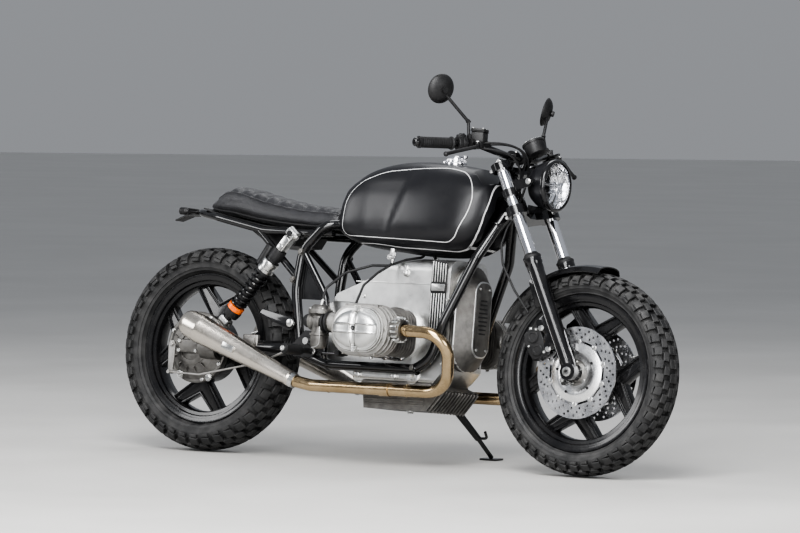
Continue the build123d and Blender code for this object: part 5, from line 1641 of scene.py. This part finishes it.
    def build(self, machine: Machine) -> None:
        """Make everything that the handlebar carries."""
        grips = self.grip().both()
        machine.piece("grips_ringed", grips, (RUBBER, FRAME_BLACK), ("grips",), angle=50.0,
            body=Body.STEERING)
        controls = self.controls().both().add(self.reservoir())
        machine.piece("bar_levers", controls, (MATT_BLACK, RUBBER, ZINC), ("bar_controls",),
            body=Body.STEERING)
        glass = Form()
        for post in (((1098, -226, 1012), (1092, -228, 1068), (1056, -286, 1130), (1040, -310, 1160)),
                ((1102, 208, 1014), (1088, 206, 1066), (1050, 276, 1124), (1032, 302, 1154))):
            glass.add(self.mirror(*post))
        machine.piece("mirrors_round", glass, (MATT_BLACK, MIRROR), ("mirrors",),
            body=Body.STEERING)
        machine.piece("bar_cables", self.cables(), RUBBER, body=Body.STEERING)


# Engine


@dataclass
class Cylinder:
    """One finned barrel, its head and its rocker cover, drawn for the right side."""

    hand: Hand
    x: float
    height: float = 404.0
    foot: float = 132.0
    head: float = 262.0
    top: float = 326.0
    barrel_fins: int = 9
    head_fins: int = 5

    def place(self, out: float = 0.0) -> Matrix:
        """Give the place on the cylinder's line: X forward, Y up and Z out to this side."""
        flat = move(self.x, -out, self.height) @ SIDE
        return flat if self.hand is Hand.RIGHT else FLIP @ flat

    def barrel(self) -> Form:
        """Stack the barrel's fins round its bore, with its studs and pushrod tubes."""
        form = Form().add(turned([(0, 0), (0, 84), (3, 84), (3, 62), (130, 60), (130, 0)], 48),
            self.place(self.foot - 2))
        pitch = (self.head - self.foot) / (self.barrel_fins + 0.5)
        fin = oval(184, 150, 2.6, 44, 0.9)
        for count in range(self.barrel_fins):
            form.add(fin, self.place(self.foot + (count + 0.8) * pitch - 1.3))
        for ahead, rise in ((-52, 52), (52, 52), (-52, -52), (52, -52)):
            stud = rod(6.5, 0, 128, 14)
            form.add(stud, self.place(self.foot) @ at((ahead, rise, 0)))
        tube = turned([(0, 0), (0, 13), (7, 13), (10, 9.5), (126, 9.5), (126, 0)], 24).tint(1)
        for ahead in (-30, 30):
            form.add(tube, self.place(self.foot - 4) @ at((ahead, -71, 0)))
        return form

    def cylinder_head(self) -> Form:
        """Stack the head's deeper fins round a core darkened as painted shade between them, with its ports,
        its plug and its edge ribs.
        """
        # The core between the fins takes the dark finish: painted shade in the fins' gaps.
        form = Form().add(turned([(0, 0), (0, 67), (64, 66), (64, 0)], 48).tint(2), self.place(self.head))
        pitch = (self.top - self.head) / self.head_fins
        for count in range(self.head_fins):
            width, height = (232, 164) if count < 3 else (222 - 10 * (count - 3), 162 - 6 * (count - 3))
            fin = oval(width, height, 5.4, height / 2 - 7, 2.0)
            form.add(fin, self.place(self.head + (count + 0.6) * pitch - 2.7))
        rib = block((5, 22, 54), 1.6)
        for count in range(7):
            form.add(rib, self.place(self.head + 32) @ at((60 - 20 * count, -68, 0)))
            form.add(rib, self.place(self.head + 32) @ at((60 - 20 * count, 68, 0)))
        port = turned([(60, 0), (60, 33), (100, 33), (104, 30), (110, 30), (110, 20), (90, 18)], 40)
        form.add(port, self.place(self.head + 30) @ at((0, 6, 0), (1, 0, 0)))
        inlet = turned([(60, 0), (60, 30), (112, 27), (118, 30), (128, 30), (130, 28), (130, 0)], 36)
        form.add(inlet, self.place(self.head + 30) @ at((0, 20, 0), (-1, 0, 0)))
        plug = turned([(0, 0), (0, 10), (8, 10), (8, 6), (30, 6), (30, 0)], 18).tint(1)
        form.add(plug, self.place(self.head + 36) @ at((26, -60, 0), (0.35, -1, 0)))
        return form

    def dome(self) -> Form:
        """Shape the rocker cover: stepped rims, two crowned halves, two ribs and a valley, with painted
        shade in the rims' gaps and along the ribs and the valley.
        """
        form = Form()
        for size, low, high in (((188, 140), 0, 6.5), ((184, 136), 6, 9), ((180, 132), 8.5, 12.5),
                ((172, 124), 12, 14), ((172, 124), 13.5, 17)):
            rim = oval(*size, high - low, size[1] / 2 - 3, 1.2 if high - low > 3 else 0.0)
            # Thin rims take the dark finish: painted shade in the gaps between the steps.
            form.add(rim.tint(0 if high - low > 3 else 2), self.place(self.top + low))
        lobes = Form()
        bmesh.ops.create_grid(lobes.mesh, x_segments=84, y_segments=60, size=1.0)
        for face in lobes.mesh.faces:
            spot = face.calc_center_median()
            # Faces beside the ribs and along the valley's edges take the dark finish: painted shade lines,
            # as the sheet has no groove there.
            painted_shade_line = 0.235 < abs(spot.y) < 0.265 or 0.115 < abs(spot.x - 0.06) < 0.135
            face.material_index = 2 if painted_shade_line and spot.length < 0.93 else 0
        half_x, half_y, deep = 84.0, 60.5, 28.0

        def crowned(co: Vector) -> Vector:
            """Round the sheet's outline and crown its two halves."""
            x, y = co.x, co.y
            across = x * math.sqrt(1 - y * y / 2) * half_x
            up = y * math.sqrt(1 - x * x / 2) * half_y
            reach = min(1.0, math.hypot(x * math.sqrt(1 - y * y / 2), y * math.sqrt(1 - x * x / 2)))
            crown = (1 - reach ** 3.4) ** 0.55
            dent = math.exp(-(((across - 5) / 9.0) ** 2))
            pinch = 1 - 0.13 * dent
            rise = deep * crown - 6.5 * dent * crown
            for line in (-13, 13):
                rib = math.exp(-(((up - line - 1.5) / 2.2) ** 2))
                rise += 2.6 * rib * (crown > 0.25) * (1 - 0.6 * dent)
            return Vector((across, up * pinch, rise))

        lobes.shaped(crowned)
        form.add(lobes, self.place(self.top + 16.5))
        nut = turned([(0, 0), (0, 13), (3, 13), (5, 11), (5, 0)], 28)
        form.add(nut, self.place(self.top + 34.5) @ at((5, 2, 0)))
        dark = turned([(0, 0), (0, 7.5), (8, 7.5), (8, 4), (3, 4), (3, 0)], 6).tint(1)
        form.add(dark, self.place(self.top + 35) @ at((5, 2, 0)))
        for rise, turn in ((-60, 0.0), (62, math.pi)):
            for count in range(4):
                lip = block((20 - count * 3, 4, 20), 1.4)
                form.add(lip, self.place(self.top + 19) @ at((6, rise, 0), turn=turn)
                    @ at((0, count * 4.5 - 4, count * 1.5)))
        return form


@dataclass
class Carburettor:
    """One carburettor: a dome, a float bowl, a ribbed sleeve and a cable."""

    hand: Hand
    x: float
    out: float = 292.0
    height: float = 424.0

    def build(self) -> Form:
        """Make the carburettor for its side."""
        y = self.hand.value * self.out
        form = Form()
        body = turned([(0, 0), (0, 31), (5, 31), (7, 27), (16, 24), (62, 24), (66, 28), (76, 28), (76, 22)],
            36)
        form.add(body, at((self.x, y, self.height), (-1, 0, 0)))
        for ring in (0, 13):
            band = sleeve(26, 33.5, ring, ring + 8, 36)
            form.add(band.tint(1), at((self.x - 2, y, self.height), (-1, 0, 0)))
        post = Vector((self.x - 44, y, self.height))
        bowl = turned([(-86, 0), (-86, 15), (-82, 22), (-76, 26), (-46, 27), (-44, 31), (-38, 31),
            (-37, 25), (16, 25), (20, 30), (24, 38), (34, 38.5), (37, 38), (39, 32), (46, 29), (52, 22),
            (53, 0)], 48)
        form.add(bowl, at(post))
        for spot in ring_of(4, 33.0, 0.78):
            form.add(cap_screw(3.6, 4).tint(2), at(post + Vector((0, 0, 37))) @ spot)
        clip = wire([(30, -32, 0), (34, -34, -30), (30, -28, -62), (0, -26, -66)], 1.6)
        form.add(clip.tint(2), Matrix.Translation(post + Vector((-4, y / 60, -18))))
        form.add(block((20, 16, 26), 3.0), Matrix.Translation(post + Vector((8, self.hand.value * 26, -4))))
        form.add(turned([(0, 0), (0, 4.6), (20, 4.6), (24, 3), (24, 0)], 18).tint(2),
            at(post + Vector((10, self.hand.value * 14, 46)), (0.25, 0, 1)))
        start = Vector((self.x - 74, y, self.height))
        bends = [start, start + Vector((-26, 0, 0)), Vector((600, self.hand.value * 190, 436)),
            Vector((600, self.hand.value * 93, 440))]
        form.add(pipe(bends, 22, (20, 40), 32).tint(1))
        for share in range(6):
            spot = bends[1].lerp(bends[2], 0.25 + share * 0.12)
            ring = sleeve(21, 24, -2.4, 2.4, 32).tint(1)
            form.add(ring, at(spot, bends[2] - bends[1]))
        clamp = sleeve(22, 25, -5, 5, 32).tint(2)
        form.add(clamp, at(start + Vector((2, 0, 0)), (1, 0, 0)))
        return form


@dataclass
class EngineTop:
    """The trim of the top and front covers: louvre bars, a blank plate, seams and bolts."""

    half: float = 104.0
    louvre: float = 944.0
    bars: int = 6
    pitch: float = 9.6

    def louvres(self) -> Form:
        """Make the dark strip of upright bars with its blank plate, for the right side."""
        form = Form()
        back = plate([(-29, -156), (29, -156), (29, 70), (20, 84), (-29, 84)], 2.2, 0.6, 5.0)
        form.add(back.tint(1), side(-self.half, self.louvre, 560))
        for bar in range(self.bars):
            x = self.louvre - 24 + bar * self.pitch
            for height, z in ((66 - bar * 1.4, 607 - bar * 0.7), (134, 472)):
                form.add(block((3.4, 4.0, height), 1.4), move(x, -self.half - 3.2, z))
        form.add(oval(58, 30, 5.6, 3, 0.8).tint(1), side(-self.half, self.louvre, 557))
        form.add(oval(50, 22, 0.8, 2, 0.3).tint(2), side(-self.half - 5.4, self.louvre, 557))
        return form

    def seams(self) -> Form:
        """Make the cover's bead, its starter bulge, its knob and its screws."""
        form = Form()
        bead = plate([(-144, -1.8), (140, -1.8), (140, 1.8), (-144, 1.8)], 1.6, 0.6, 1.6)
        form.add(bead, side(-self.half, 770, 566))
        knob = turned([(0, 0), (0, 12), (3, 12), (4, 9), (9, 8), (11, 5), (11, 0)], 28)
        form.add(knob, side(-self.half, 816, 598))
        form.add(block((5, 10, 34), 2.0), move(816, -self.half - 2, 606))
        for x, z in ((660, 520), (980, 520), (700, 486), (976, 320), (660, 330)):
            form.add(cap_screw(5.0, 5), side(-self.half, x, z))
        return form

    def case_trim(self) -> Form:
        """Make the crankcase's plugs and its oil filter cap."""
        form = Form()
        plug = turned([(0, 0), (0, 26), (5, 26), (7, 22), (7, 15), (10, 14), (14, 11), (14, 0)], 40)
        form.add(plug, side(-self.half, 870, 276))
        form.add(hex_bolt(17, 7), side(-self.half - 14, 870, 276))
        for x in (660, 800):
            form.add(turned([(0, 0), (0, 11), (10, 11), (12, 8), (12, 0)], 28), side(-self.half, x, 272))
        return form

    @staticmethod
    def bevelled(rows: Pairs) -> Form:
        """Stretch a skin over rounded rectangles, each given by its depth and its inset."""
        rings = []
        for depth, inset in rows:
            ring = []
            for quarter, (x, y) in enumerate(((1, 1), (-1, 1), (-1, -1), (1, -1))):
                for step in range(9):
                    angle = math.pi / 2 * (quarter + step / 8)
                    reach = 84 - inset
                    ring.append(Vector((x * 8 + reach * math.cos(angle), y * 82 + reach * math.sin(angle),
                        depth)))
            rings.append(ring)
        return skinned(rings)

    def front(self) -> Form:
        """Make the front cover's dark nose with a bright edge, its vents and its bolts."""
        form = Form()
        nose = Matrix(((0, 0, 1, 1005), (1, 0, 0, 0), (0, 1, 0, 466), (0, 0, 0, 1)))
        form.add(self.bevelled([(-5, 1), (-5, -1.5), (-1, -1.5), (1, 1)]).tint(1), nose)
        form.add(self.bevelled([(24, 31), (25.4, 29), (39, 45.2), (41.4, 48.6), (42.8, 51)]), nose)
        form.add(self.bevelled([(39, 46), (39.6, 45), (41.2, 46.8), (42.4, 50)]).tint(1), nose)
        for count in range(9):
            form.add(block((52 - abs(count - 4) * 4, 5, 3), 1.2).tint(2), nose @ at((0, 60 - count * 13,
                42.6)))
        for x, y in ((26, 96), (-26, 96), (26, -96), (-26, -96)):
            form.add(cap_screw(5, 4).tint(3), nose @ at((x, y, 41.6)))
        for hand in (-1, 1):
            form.add(turned([(0, 0), (0, 8), (3, 8), (4, 6), (4, 0)], 20).tint(2),
                at((1015, hand * 80.1, 548), (0.766, hand * 0.643, 0)))
            form.add(block((16, 5, 16), 2.4).tint(2), move(997, hand * 64, 322))
        return form

    def build(self, machine: Machine) -> None:
        """Make the covers' trim on both sides."""
        strips = self.louvres().both()
        machine.piece("cover_louvres", strips, (BLASTED, MATT_BLACK, ZINC))
        seams = self.seams().both().add(self.case_trim().both())
        machine.piece("case_fittings", seams, BLASTED)
        machine.piece("front_cover_nose", self.front(), (CAST_DARK, BLASTED, MATT_BLACK,
            ZINC))


@dataclass
class Sump:
    """The finned oil pan: slanted ribs at its bevelled front, a flange and a drain plug."""

    def build(self, machine: Machine) -> None:
        """Make the pan's ribs, flange and plug."""
        form = Form()
        flange = plate([(-2, 0), (264, 0), (264, 8), (-2, 8)], 212, 1.6)
        form.add(flange, side(106, 678, 246))
        slope = (Vector((985, 0, 236)) - Vector((930, 0, 168))).normalized()
        for count in range(12):
            y = -96 + count * 17.5
            form.add(block((86, 5.0, 9), 1.6), Matrix(((slope.x, 0, -slope.z, 959), (0, 1, 0, y),
                (slope.z, 0, slope.x, 199), (0, 0, 0, 1))))
        for hand in (-1, 1):
            for count in range(4):
                form.add(block((226, 4, 5), 1.4), move(806, hand * 105, 184 + count * 15))
        form.add(hex_bolt(19, 8).tint(1), at((800, 0, 168), (0, 0, -1)))
        for x in (700, 780, 860, 930):
            for hand in (-1, 1):
                form.add(cap_screw(4.5, 6).tint(1), at((x, hand * 98, 246), (0, 0, -1)))
        machine.piece("sump_ribs", form, (CAST_DARK, ZINC))


def build_engine(machine: Machine) -> None:
    """Build both cylinders, both carburettors and the covers' trim.

    Args:
        machine: The machine they go on.
    """
    cylinders = [Cylinder(Hand.RIGHT, 806.0), Cylinder(Hand.LEFT, 806.0 + CYLINDER_STEP)]
    for name, node, slot, draw, finishes in (("barrels_finned", "barrels", "cast_grey", Cylinder.barrel,
            (CAST_DARK, CHROME)), ("heads_finned", "cylinder_heads", "cast_grey", Cylinder.cylinder_head,
            (CAST_GREY, ZINC, CAST_DARK)), ("rocker_covers_domed", "rocker_covers", "engine_silver",
            Cylinder.dome, (BLASTED, MATT_BLACK, CAST_DARK)),):
        both = joined(draw(cylinder) for cylinder in cylinders)
        machine.piece(name, both, finishes, (node,))
    pair = [Carburettor(Hand.RIGHT, 676.0), Carburettor(Hand.LEFT, 676.0 + CYLINDER_STEP)]
    machine.piece("carburettors_cast", joined(one.build() for one in pair),
        (CAST_DARK, RUBBER, ZINC), ("carburettors",))
    EngineTop().build(machine)
    Sump().build(machine)


# Exhaust, rear suspension, drive and small fittings


@dataclass
class Exhaust:
    """Both header pipes with their crown nuts, and both mufflers."""

    radius: float = 19.2
    port_y: float = 292.0
    low_y: float = 172.0
    low_z: float = 226.0
    start: Vector = Vector((470.0, 178.0, 236.0))
    end: Vector = Vector((38.0, 204.0, 408.0))

    def header(self, hand: Hand) -> Form:
        """Bend one header and fit its toothed nut, its flange ring and its weld seams."""
        x = 934.0 + (CYLINDER_STEP if hand is Hand.LEFT else 0.0)
        out, low = hand.value * self.port_y, hand.value * self.low_y
        route = [(x - 22, out, 410), (x + 184, out - hand.value * 6, 404), (x + 116, low, self.low_z),
            (530, low, self.low_z), (470, hand.value * 178, 236)]
        form = pipe(route, self.radius, (70, 110, 60), 32, 16)
        nut = turned([(-22, 20), (-22, 31), (-14, 33), (-4, 33), (-2, 36), (8, 36), (14, 30), (14, 20)], 48,
            shut=True)
        nut.tint(2)
        for place in ring_of(15, 34.5):
            nut.add(block((13, 7, 22), 1.8).tint(1), place @ at((0, 0, 0)))
        form.add(nut, at((x + 4, out, 410), (1, 0, 0)))
        bead = turned([(-2, 18.8), (-0.9, 20.6), (0.9, 20.6), (2, 18.8)], 32, shut=True)
        for spot, way in (((x + 34, out, 408.6), (1, 0, 0)), ((900, low, self.low_z), (1, 0, 0)),
                ((600, low, self.low_z), (1, 0, 0))):
            form.add(bead, at(spot, way))
        clip = sleeve(19, 21.6, 0, 36, 32)
        form.add(clip, at((836, low, self.low_z), (-1, 0, 0)))
        return form

    def muffler(self, hand: Hand) -> Form:
        """Roll one reverse-cone muffler with its open mouth, its clamp and its hanger."""
        start = Vector((self.start.x, hand.value * self.start.y, self.start.z))
        run = Vector((self.end.x, hand.value * self.end.y, self.end.z)) - start
        length = run.length
        form = turned([(0, 0), (0, 21), (20, 24.4), (22, 25.6), (25, 25.6), (27, 25.2), (length - 74, 45.6),
            (length - 70, 46.8), (length - 66, 46.8), (length - 62, 46), (length - 22, 44.4),
            (length - 8, 40), (length, 34.6), (length, 32), (length - 5, 31), (length - 24, 30),
            (length - 24, 0)], 64)
        inner = turned([(length - 23.4, 0), (length - 23.4, 29.6), (length - 20, 29.6), (length - 20, 20),
            (length - 23, 19), (length - 23, 0)], 40).tint(1)
        form.add(inner)
        clamp = turned([(-2, 21), (-2, 24.4), (14, 25.8), (14, 23)], 40, shut=True)
        clamp.add(block((10, 14, 15), 1.6), move(-28, 0, 6))
        clamp.add(hex_bolt(9, 6), at((-28, 7, 6), (0, 1, 0)))
        form.add(clamp.tint(2))
        hanger = block((8, 22, 46), 2.0).tint(2)
        form.add(hanger, move(40, 0, length * 0.55))
        return form.moved(at(start, run))

    def build(self, machine: Machine) -> None:
        """Make both headers and both mufflers."""
        headers = joined(self.header(hand) for hand in Hand)
        machine.piece("headers_bent", headers, (HEAT_TINTED, ZINC, CAST_DARK),
            ("exhaust_headers",))
        place = at((self.start.x, -self.start.y, self.start.z), (-0.93, -0.05, 0.37))
        mufflers = joined(self.muffler(hand) for hand in Hand)
        machine.piece("mufflers_rolled", mufflers, (BRUSHED, CAST_DARK, ZINC),
            ("mufflers",), place)


@dataclass
class Shock:
    """The single shock absorber: clevis, reservoir, damper, collars and its coil spring."""

    top: Vector = Vector((382.0, -128.0, 706.0))
    foot: Vector = Vector((140.0, -130.0, 416.0))
    start: float = 166.0
    foot_gap: float = 52.0
    coils: float = 8.0
    coil_radius: float = 23.4
    wire_radius: float = 4.4

    def build(self, machine: Machine) -> None:
        """Make the body and wind the spring."""
        place = at(self.top, self.foot - self.top)
        length = (self.foot - self.top).length
        end = length - self.foot_gap
        eye = sleeve(9, 18, -17, 17, 36)
        form = Form().add(eye, outward(1))
        form.add(block((32, 30, 54), 5.0, 3), move(0, 0, 42))
        form.add(block((40, 20, 22), 4.0), move(0, 0, 58))
        for hand in (-1, 1):
            form.add(hex_bolt(15, 7), outward(hand, 0, 17, 0))
        form.add(turned([(68, 0), (68, 22), (72, 23), (104, 23), (106, 20), (118, 20), (118, 0)],
            40).tint(1))
        form.add(turned([(116, 0), (116, 26), (120, 27.6), (130, 27.6), (132, 24), (144, 24), (146, 28),
            (156, 28), (158, 24), (158, 0)], 48))
        form.add(turned([(156, 0), (156, 29.4), (self.start - 1, 29.4), (self.start, 17.4), (end, 17.4),
            (end, 28.6), (end + 6, 28.6), (end + 24, 26), (end + 26, 13), (length - 16, 13),
            (length - 16, 0)], 48).tint(1))
        for ridge in range(4):
            form.add(sleeve(17, 18.8, 0, 3, 32).tint(1), move(0, 0, self.start + 20 + ridge * 30))
        form.add(sleeve(17, 27.4, end - 17, end - 1, 48).tint(2))
        form.add(eye, move(0, 0, length) @ outward(1))
        can = turned([(0, 0), (0, 14), (4, 16), (70, 16), (74, 13), (74, 0)], 36).tint(1)
        form.add(can, at((-6, 40, 84), (0, -0.12, 1)))
        form.add(block((10, 30, 14), 3), move(-4, 24, 124))
        machine.piece("shock_body", form.moved(place), (ZINC, MATT_BLACK, ORANGE),
            ("shock_absorber",))
        rise = end - self.start - 10
        turns = [(self.coil_radius * math.cos(step * TURN / 10),
            self.coil_radius * math.sin(step * TURN / 10), self.start + 5 + step / (self.coils * 10) * rise)
            for step in range(int(self.coils * 10) + 1)]
        machine.piece("shock_coil", wire(turns, self.wire_radius).moved(place), FRAME_BLACK,
            ("shock_spring",))


@dataclass
class RearDrive:
    """What sits on the bevel drive and the swing arm: ribs, plugs, a gaiter and a brake rod."""

    inner_y: float = -51.0
    height: float = 330.0

    def build(self, machine: Machine) -> None:
        """Make the drive's ribs, bolts and plugs, the gaiter and the brake's arm and rod."""
        form = Form()
        hub = side(self.inner_y, 0.0, self.height)
        for spot in ring_of(14, 86.0):
            form.add(block((52, 5, 16), 1.8), hub @ spot @ move(0, 0, 43)
                @ Matrix.Rotation(math.radians(38), 4, "Y"))
        form.add(turned([(28, 100), (28, 116), (34, 116), (37, 112), (37, 100)], 72, shut=True), hub)
        form.add(turned([(52, 60), (60, 60), (64, 52), (64, 44), (60, 42), (52, 42)], 60, shut=True), hub)
        form.add(block((84, 26, 44), 5.0, 3), move(-4, -116, 331))
        for x, z in ((-38, 346), (30, 346), (-38, 316), (30, 316)):
            form.add(cap_screw(6, 5).tint(1), side(-128, x, z))
        for x, z in ((-50, 240), (66, 234)):
            form.add(hex_bolt(17, 8).tint(1), side(-98, x, z))
        for spot in ring_of(8, 108.0, 0.3):
            form.add(hex_bolt(9, 6).tint(1), hub @ spot @ at((0, 0, 36.4)))
        casting = block((60, 16, 44), 4.0, 3)
        casting.add(block((38, 5, 24), 2.0), move(0, -9, 0))
        form.add(casting.tint(2), move(240, -116, 357))
        machine.piece("drive_fittings", form, (CAST_DARK, ZINC, CAST_GREY))
        boot = turned([(0, 27), (2, 33), (5, 33), (8, 30), (11, 35), (14, 35), (17, 31), (20, 36), (23, 36),
            (26, 32), (29, 37), (33, 37), (36, 30), (38, 27)], 44, shut=True)
        soft = Form().add(boot, at((404, -86, 344), (-0.97, -0.24, -0.12)))
        machine.piece("shaft_gaiter", soft, RUBBER)
        linkage = Form().add(pipe([(-62, -138, 244), (60, -140, 240), (300, -142, 290), (452, -144, 352)],
            3.6, (30, 60), 12))
        linkage.add(plate([(-9, -92), (9, -92), (14, 0), (8, 12), (-8, 12), (-14, 0)], 7, 1.4, 3),
            side(-130, -62, 334))
        linkage.add(hex_bolt(13, 7), side(-137, -62, 334))
        linkage.add(rod(6, -12, 12, 20), at((-62, -136, 244), (0, 1, 0)))
        machine.piece("brake_rod", linkage, CAST_GREY)


@dataclass
class Footwork:
    """The footrests' rubbers and bolts, and the levers' pads and pivots."""

    def build(self, machine: Machine) -> None:
        """Make the ridged rubbers, the pads and the bolts on both sides."""
        soft, hard = Form(), Form()
        for hand in Hand:
            for ridge in range(8):
                band = sleeve(14, 17.6, 0, 6, 28)
                soft.add(band, outward(hand.value, 500, 208 + ridge * 10.5, 334))
            hard.add(cap_screw(8, 7), outward(hand.value, 500, 296, 334))
            for x, z in ((440, 332), (486, 366), (506, 334)):
                hard.add(hex_bolt(13, 7), outward(hand.value, x, 144, z))
            hard.add(rod(11, 0, 14, 24), outward(hand.value, 486, 148, 366))
        for x, y, way in ((664, -204, -1), (654, 206, 1)):
            pad = turned([(-2, 0), (-2, 8.5), (0, 9.5), (34, 9.5), (36, 8.5), (36, 0)], 24)
            soft.add(pad, at((x, y - way * 4, 330), (0, way, 0)))
        machine.piece("footrest_rubbers", soft, RUBBER)
        machine.piece("footrest_bolts", hard, ZINC)


@dataclass
class FrameTrim:
    """Bolts, caps and weld beads on the frame, and the fittings under the seat."""

    tube: float = 16.0

    def build(self, machine: Machine) -> None:
        """Make the frame's bolts, its weld beads and its bearing caps."""
        beads, bolts = Form(), Form()
        bead = turned([(-4, self.tube - 0.6), (-2, self.tube + 2.2), (2, self.tube + 2.2),
            (4, self.tube - 0.6)], 28, shut=True)
        for x, y, z, way in ((1104, 44, 762, (-0.3, 0.45, -0.84)), (440, 118, 352, (-0.17, 0, 0.98)),
                (900, 128, 296, (1, 0, 0)), (560, 128, 296, (1, 0, 0))):
            for hand in Hand:
                beads.add(bead, at((x, hand.value * y, z), (way[0], hand.value * way[1], way[2])))
        cup = turned([(0, 20), (0, 33), (5, 33), (8, 30), (8, 20)], 40, shut=True)
        beads.add(cup, at(on_fork(678, -FORK_OFFSET), FORK_UP))
        beads.add(cup, at(on_fork(564, -FORK_OFFSET), -FORK_UP))
        machine.piece("frame_beads", beads, FRAME_BLACK)
        for x, y, z in ((440, 134, 330), (540, 128, 318), (424, 135, 650), (890, 140, 300),
                (400, 135, 560)):
            for hand in Hand:
                bolts.add(hex_bolt(15, 8), outward(hand.value, x, y, z))
        machine.piece("frame_bolts", bolts, CAST_DARK)
        hanger = plate([(404, 396), (420, 402), (430, 420), (404, 440), (296, 462), (284, 446)], 8, 1.6,
            7.0)
        beads = Form().add(hanger, side(-138, 0, 0))
        boss = turned([(0, 0), (0, 13), (10, 13), (12, 10), (12, 0)], 28).tint(1)
        beads.add(boss, side(-146, 414, 421))
        machine.piece("rest_hanger", beads, (FRAME_BLACK, ZINC))


@dataclass
class Tail:
    """The small rear lamp and the indicators' rims."""

    def build(self, machine: Machine) -> None:
        """Make the lamp's housing, its lens and the indicators."""
        form = Form().add(block((22, 74, 20), 5.0, 3), move(-130, 0, 776))
        lens = block((5, 64, 13), 2.2, 3).tint(1)
        form.add(lens, move(-142, 0, 776))
        for hand in Hand:
            shell = turned([(-17, 0), (-17, 7), (-13, 12), (7, 12.4), (16, 7), (18, 0)], 32)
            form.add(shell, at((-88, hand.value * 92, 770), (1, 0, 0)))
            glass = turned([(-18.4, 0), (-18.2, 6), (-16, 8), (-15, 0)], 28).tint(2)
            form.add(glass, at((-88, hand.value * 92, 770), (1, 0, 0)))
        machine.piece("rear_lamp", form, (MATT_BLACK, RED_LENS, SMOKED_LENS), ("tail_lamp",))


# The CAD nodes that keep their own form, by finish
DRESSED = (
    (FRAME_BLACK, "main_frame rear_subframe side_panels swingarm foot_levers upper_yoke lower_yoke "
                  "headlight_bracket handlebar side_stand"),
    (BLASTED, "engine_case top_cover gearbox"),
    (CAST_DARK, "front_cover oil_sump final_drive"),
    (MATT_BLACK, "seat_pan battery_box tail_bracket footrests ignition_coils"),
    (RUBBER, "fuel_hoses plug_leads brake_hoses"),
    (CHROME, "fork_tubes"),
    (ZINC, "front_axle"),
)


def main() -> None:
    """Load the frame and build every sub-assembly round it."""
    logging.basicConfig(level=logging.INFO, format="%(name)s %(message)s", stream=sys.stdout)
    machine = Machine(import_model())
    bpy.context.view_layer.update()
    Studio().build(machine)
    for finish, nodes in DRESSED:
        for node in nodes.split():
            machine.dress(node, finish)
    machine.dress("brake_discs", DISC_STEEL, side(0.0, FRONT_AXLE.x, FRONT_AXLE.z))
    KnobblyTyre("front_tyre", Body.FRONT_WHEEL, FRONT_AXLE, 316.0, 112.0, 11.0, 45).build(machine)
    KnobblyTyre("rear_tyre", Body.REAR_WHEEL, REAR_AXLE, 330.0, 130.0, 12.0, 40).build(machine)
    CastWheel("front_wheel", Body.FRONT_WHEEL, FRONT_AXLE, FRONT_HUB, 46.0).build(machine)
    CastWheel("rear_wheel", Body.REAR_WHEEL, REAR_AXLE, REAR_HUB, 108.0).build(machine)
    for part in (FuelTank(), Seat(), Fork(), FrontBrake(), Mudguard(), Headlamp(), Speedometer(), Bars()):
        part.build(machine)
    build_engine(machine)
    for part in (Exhaust(), Shock(), RearDrive(), Footwork(), FrameTrim(), Tail()):
        part.build(machine)


if __name__ == "__main__":
    main()
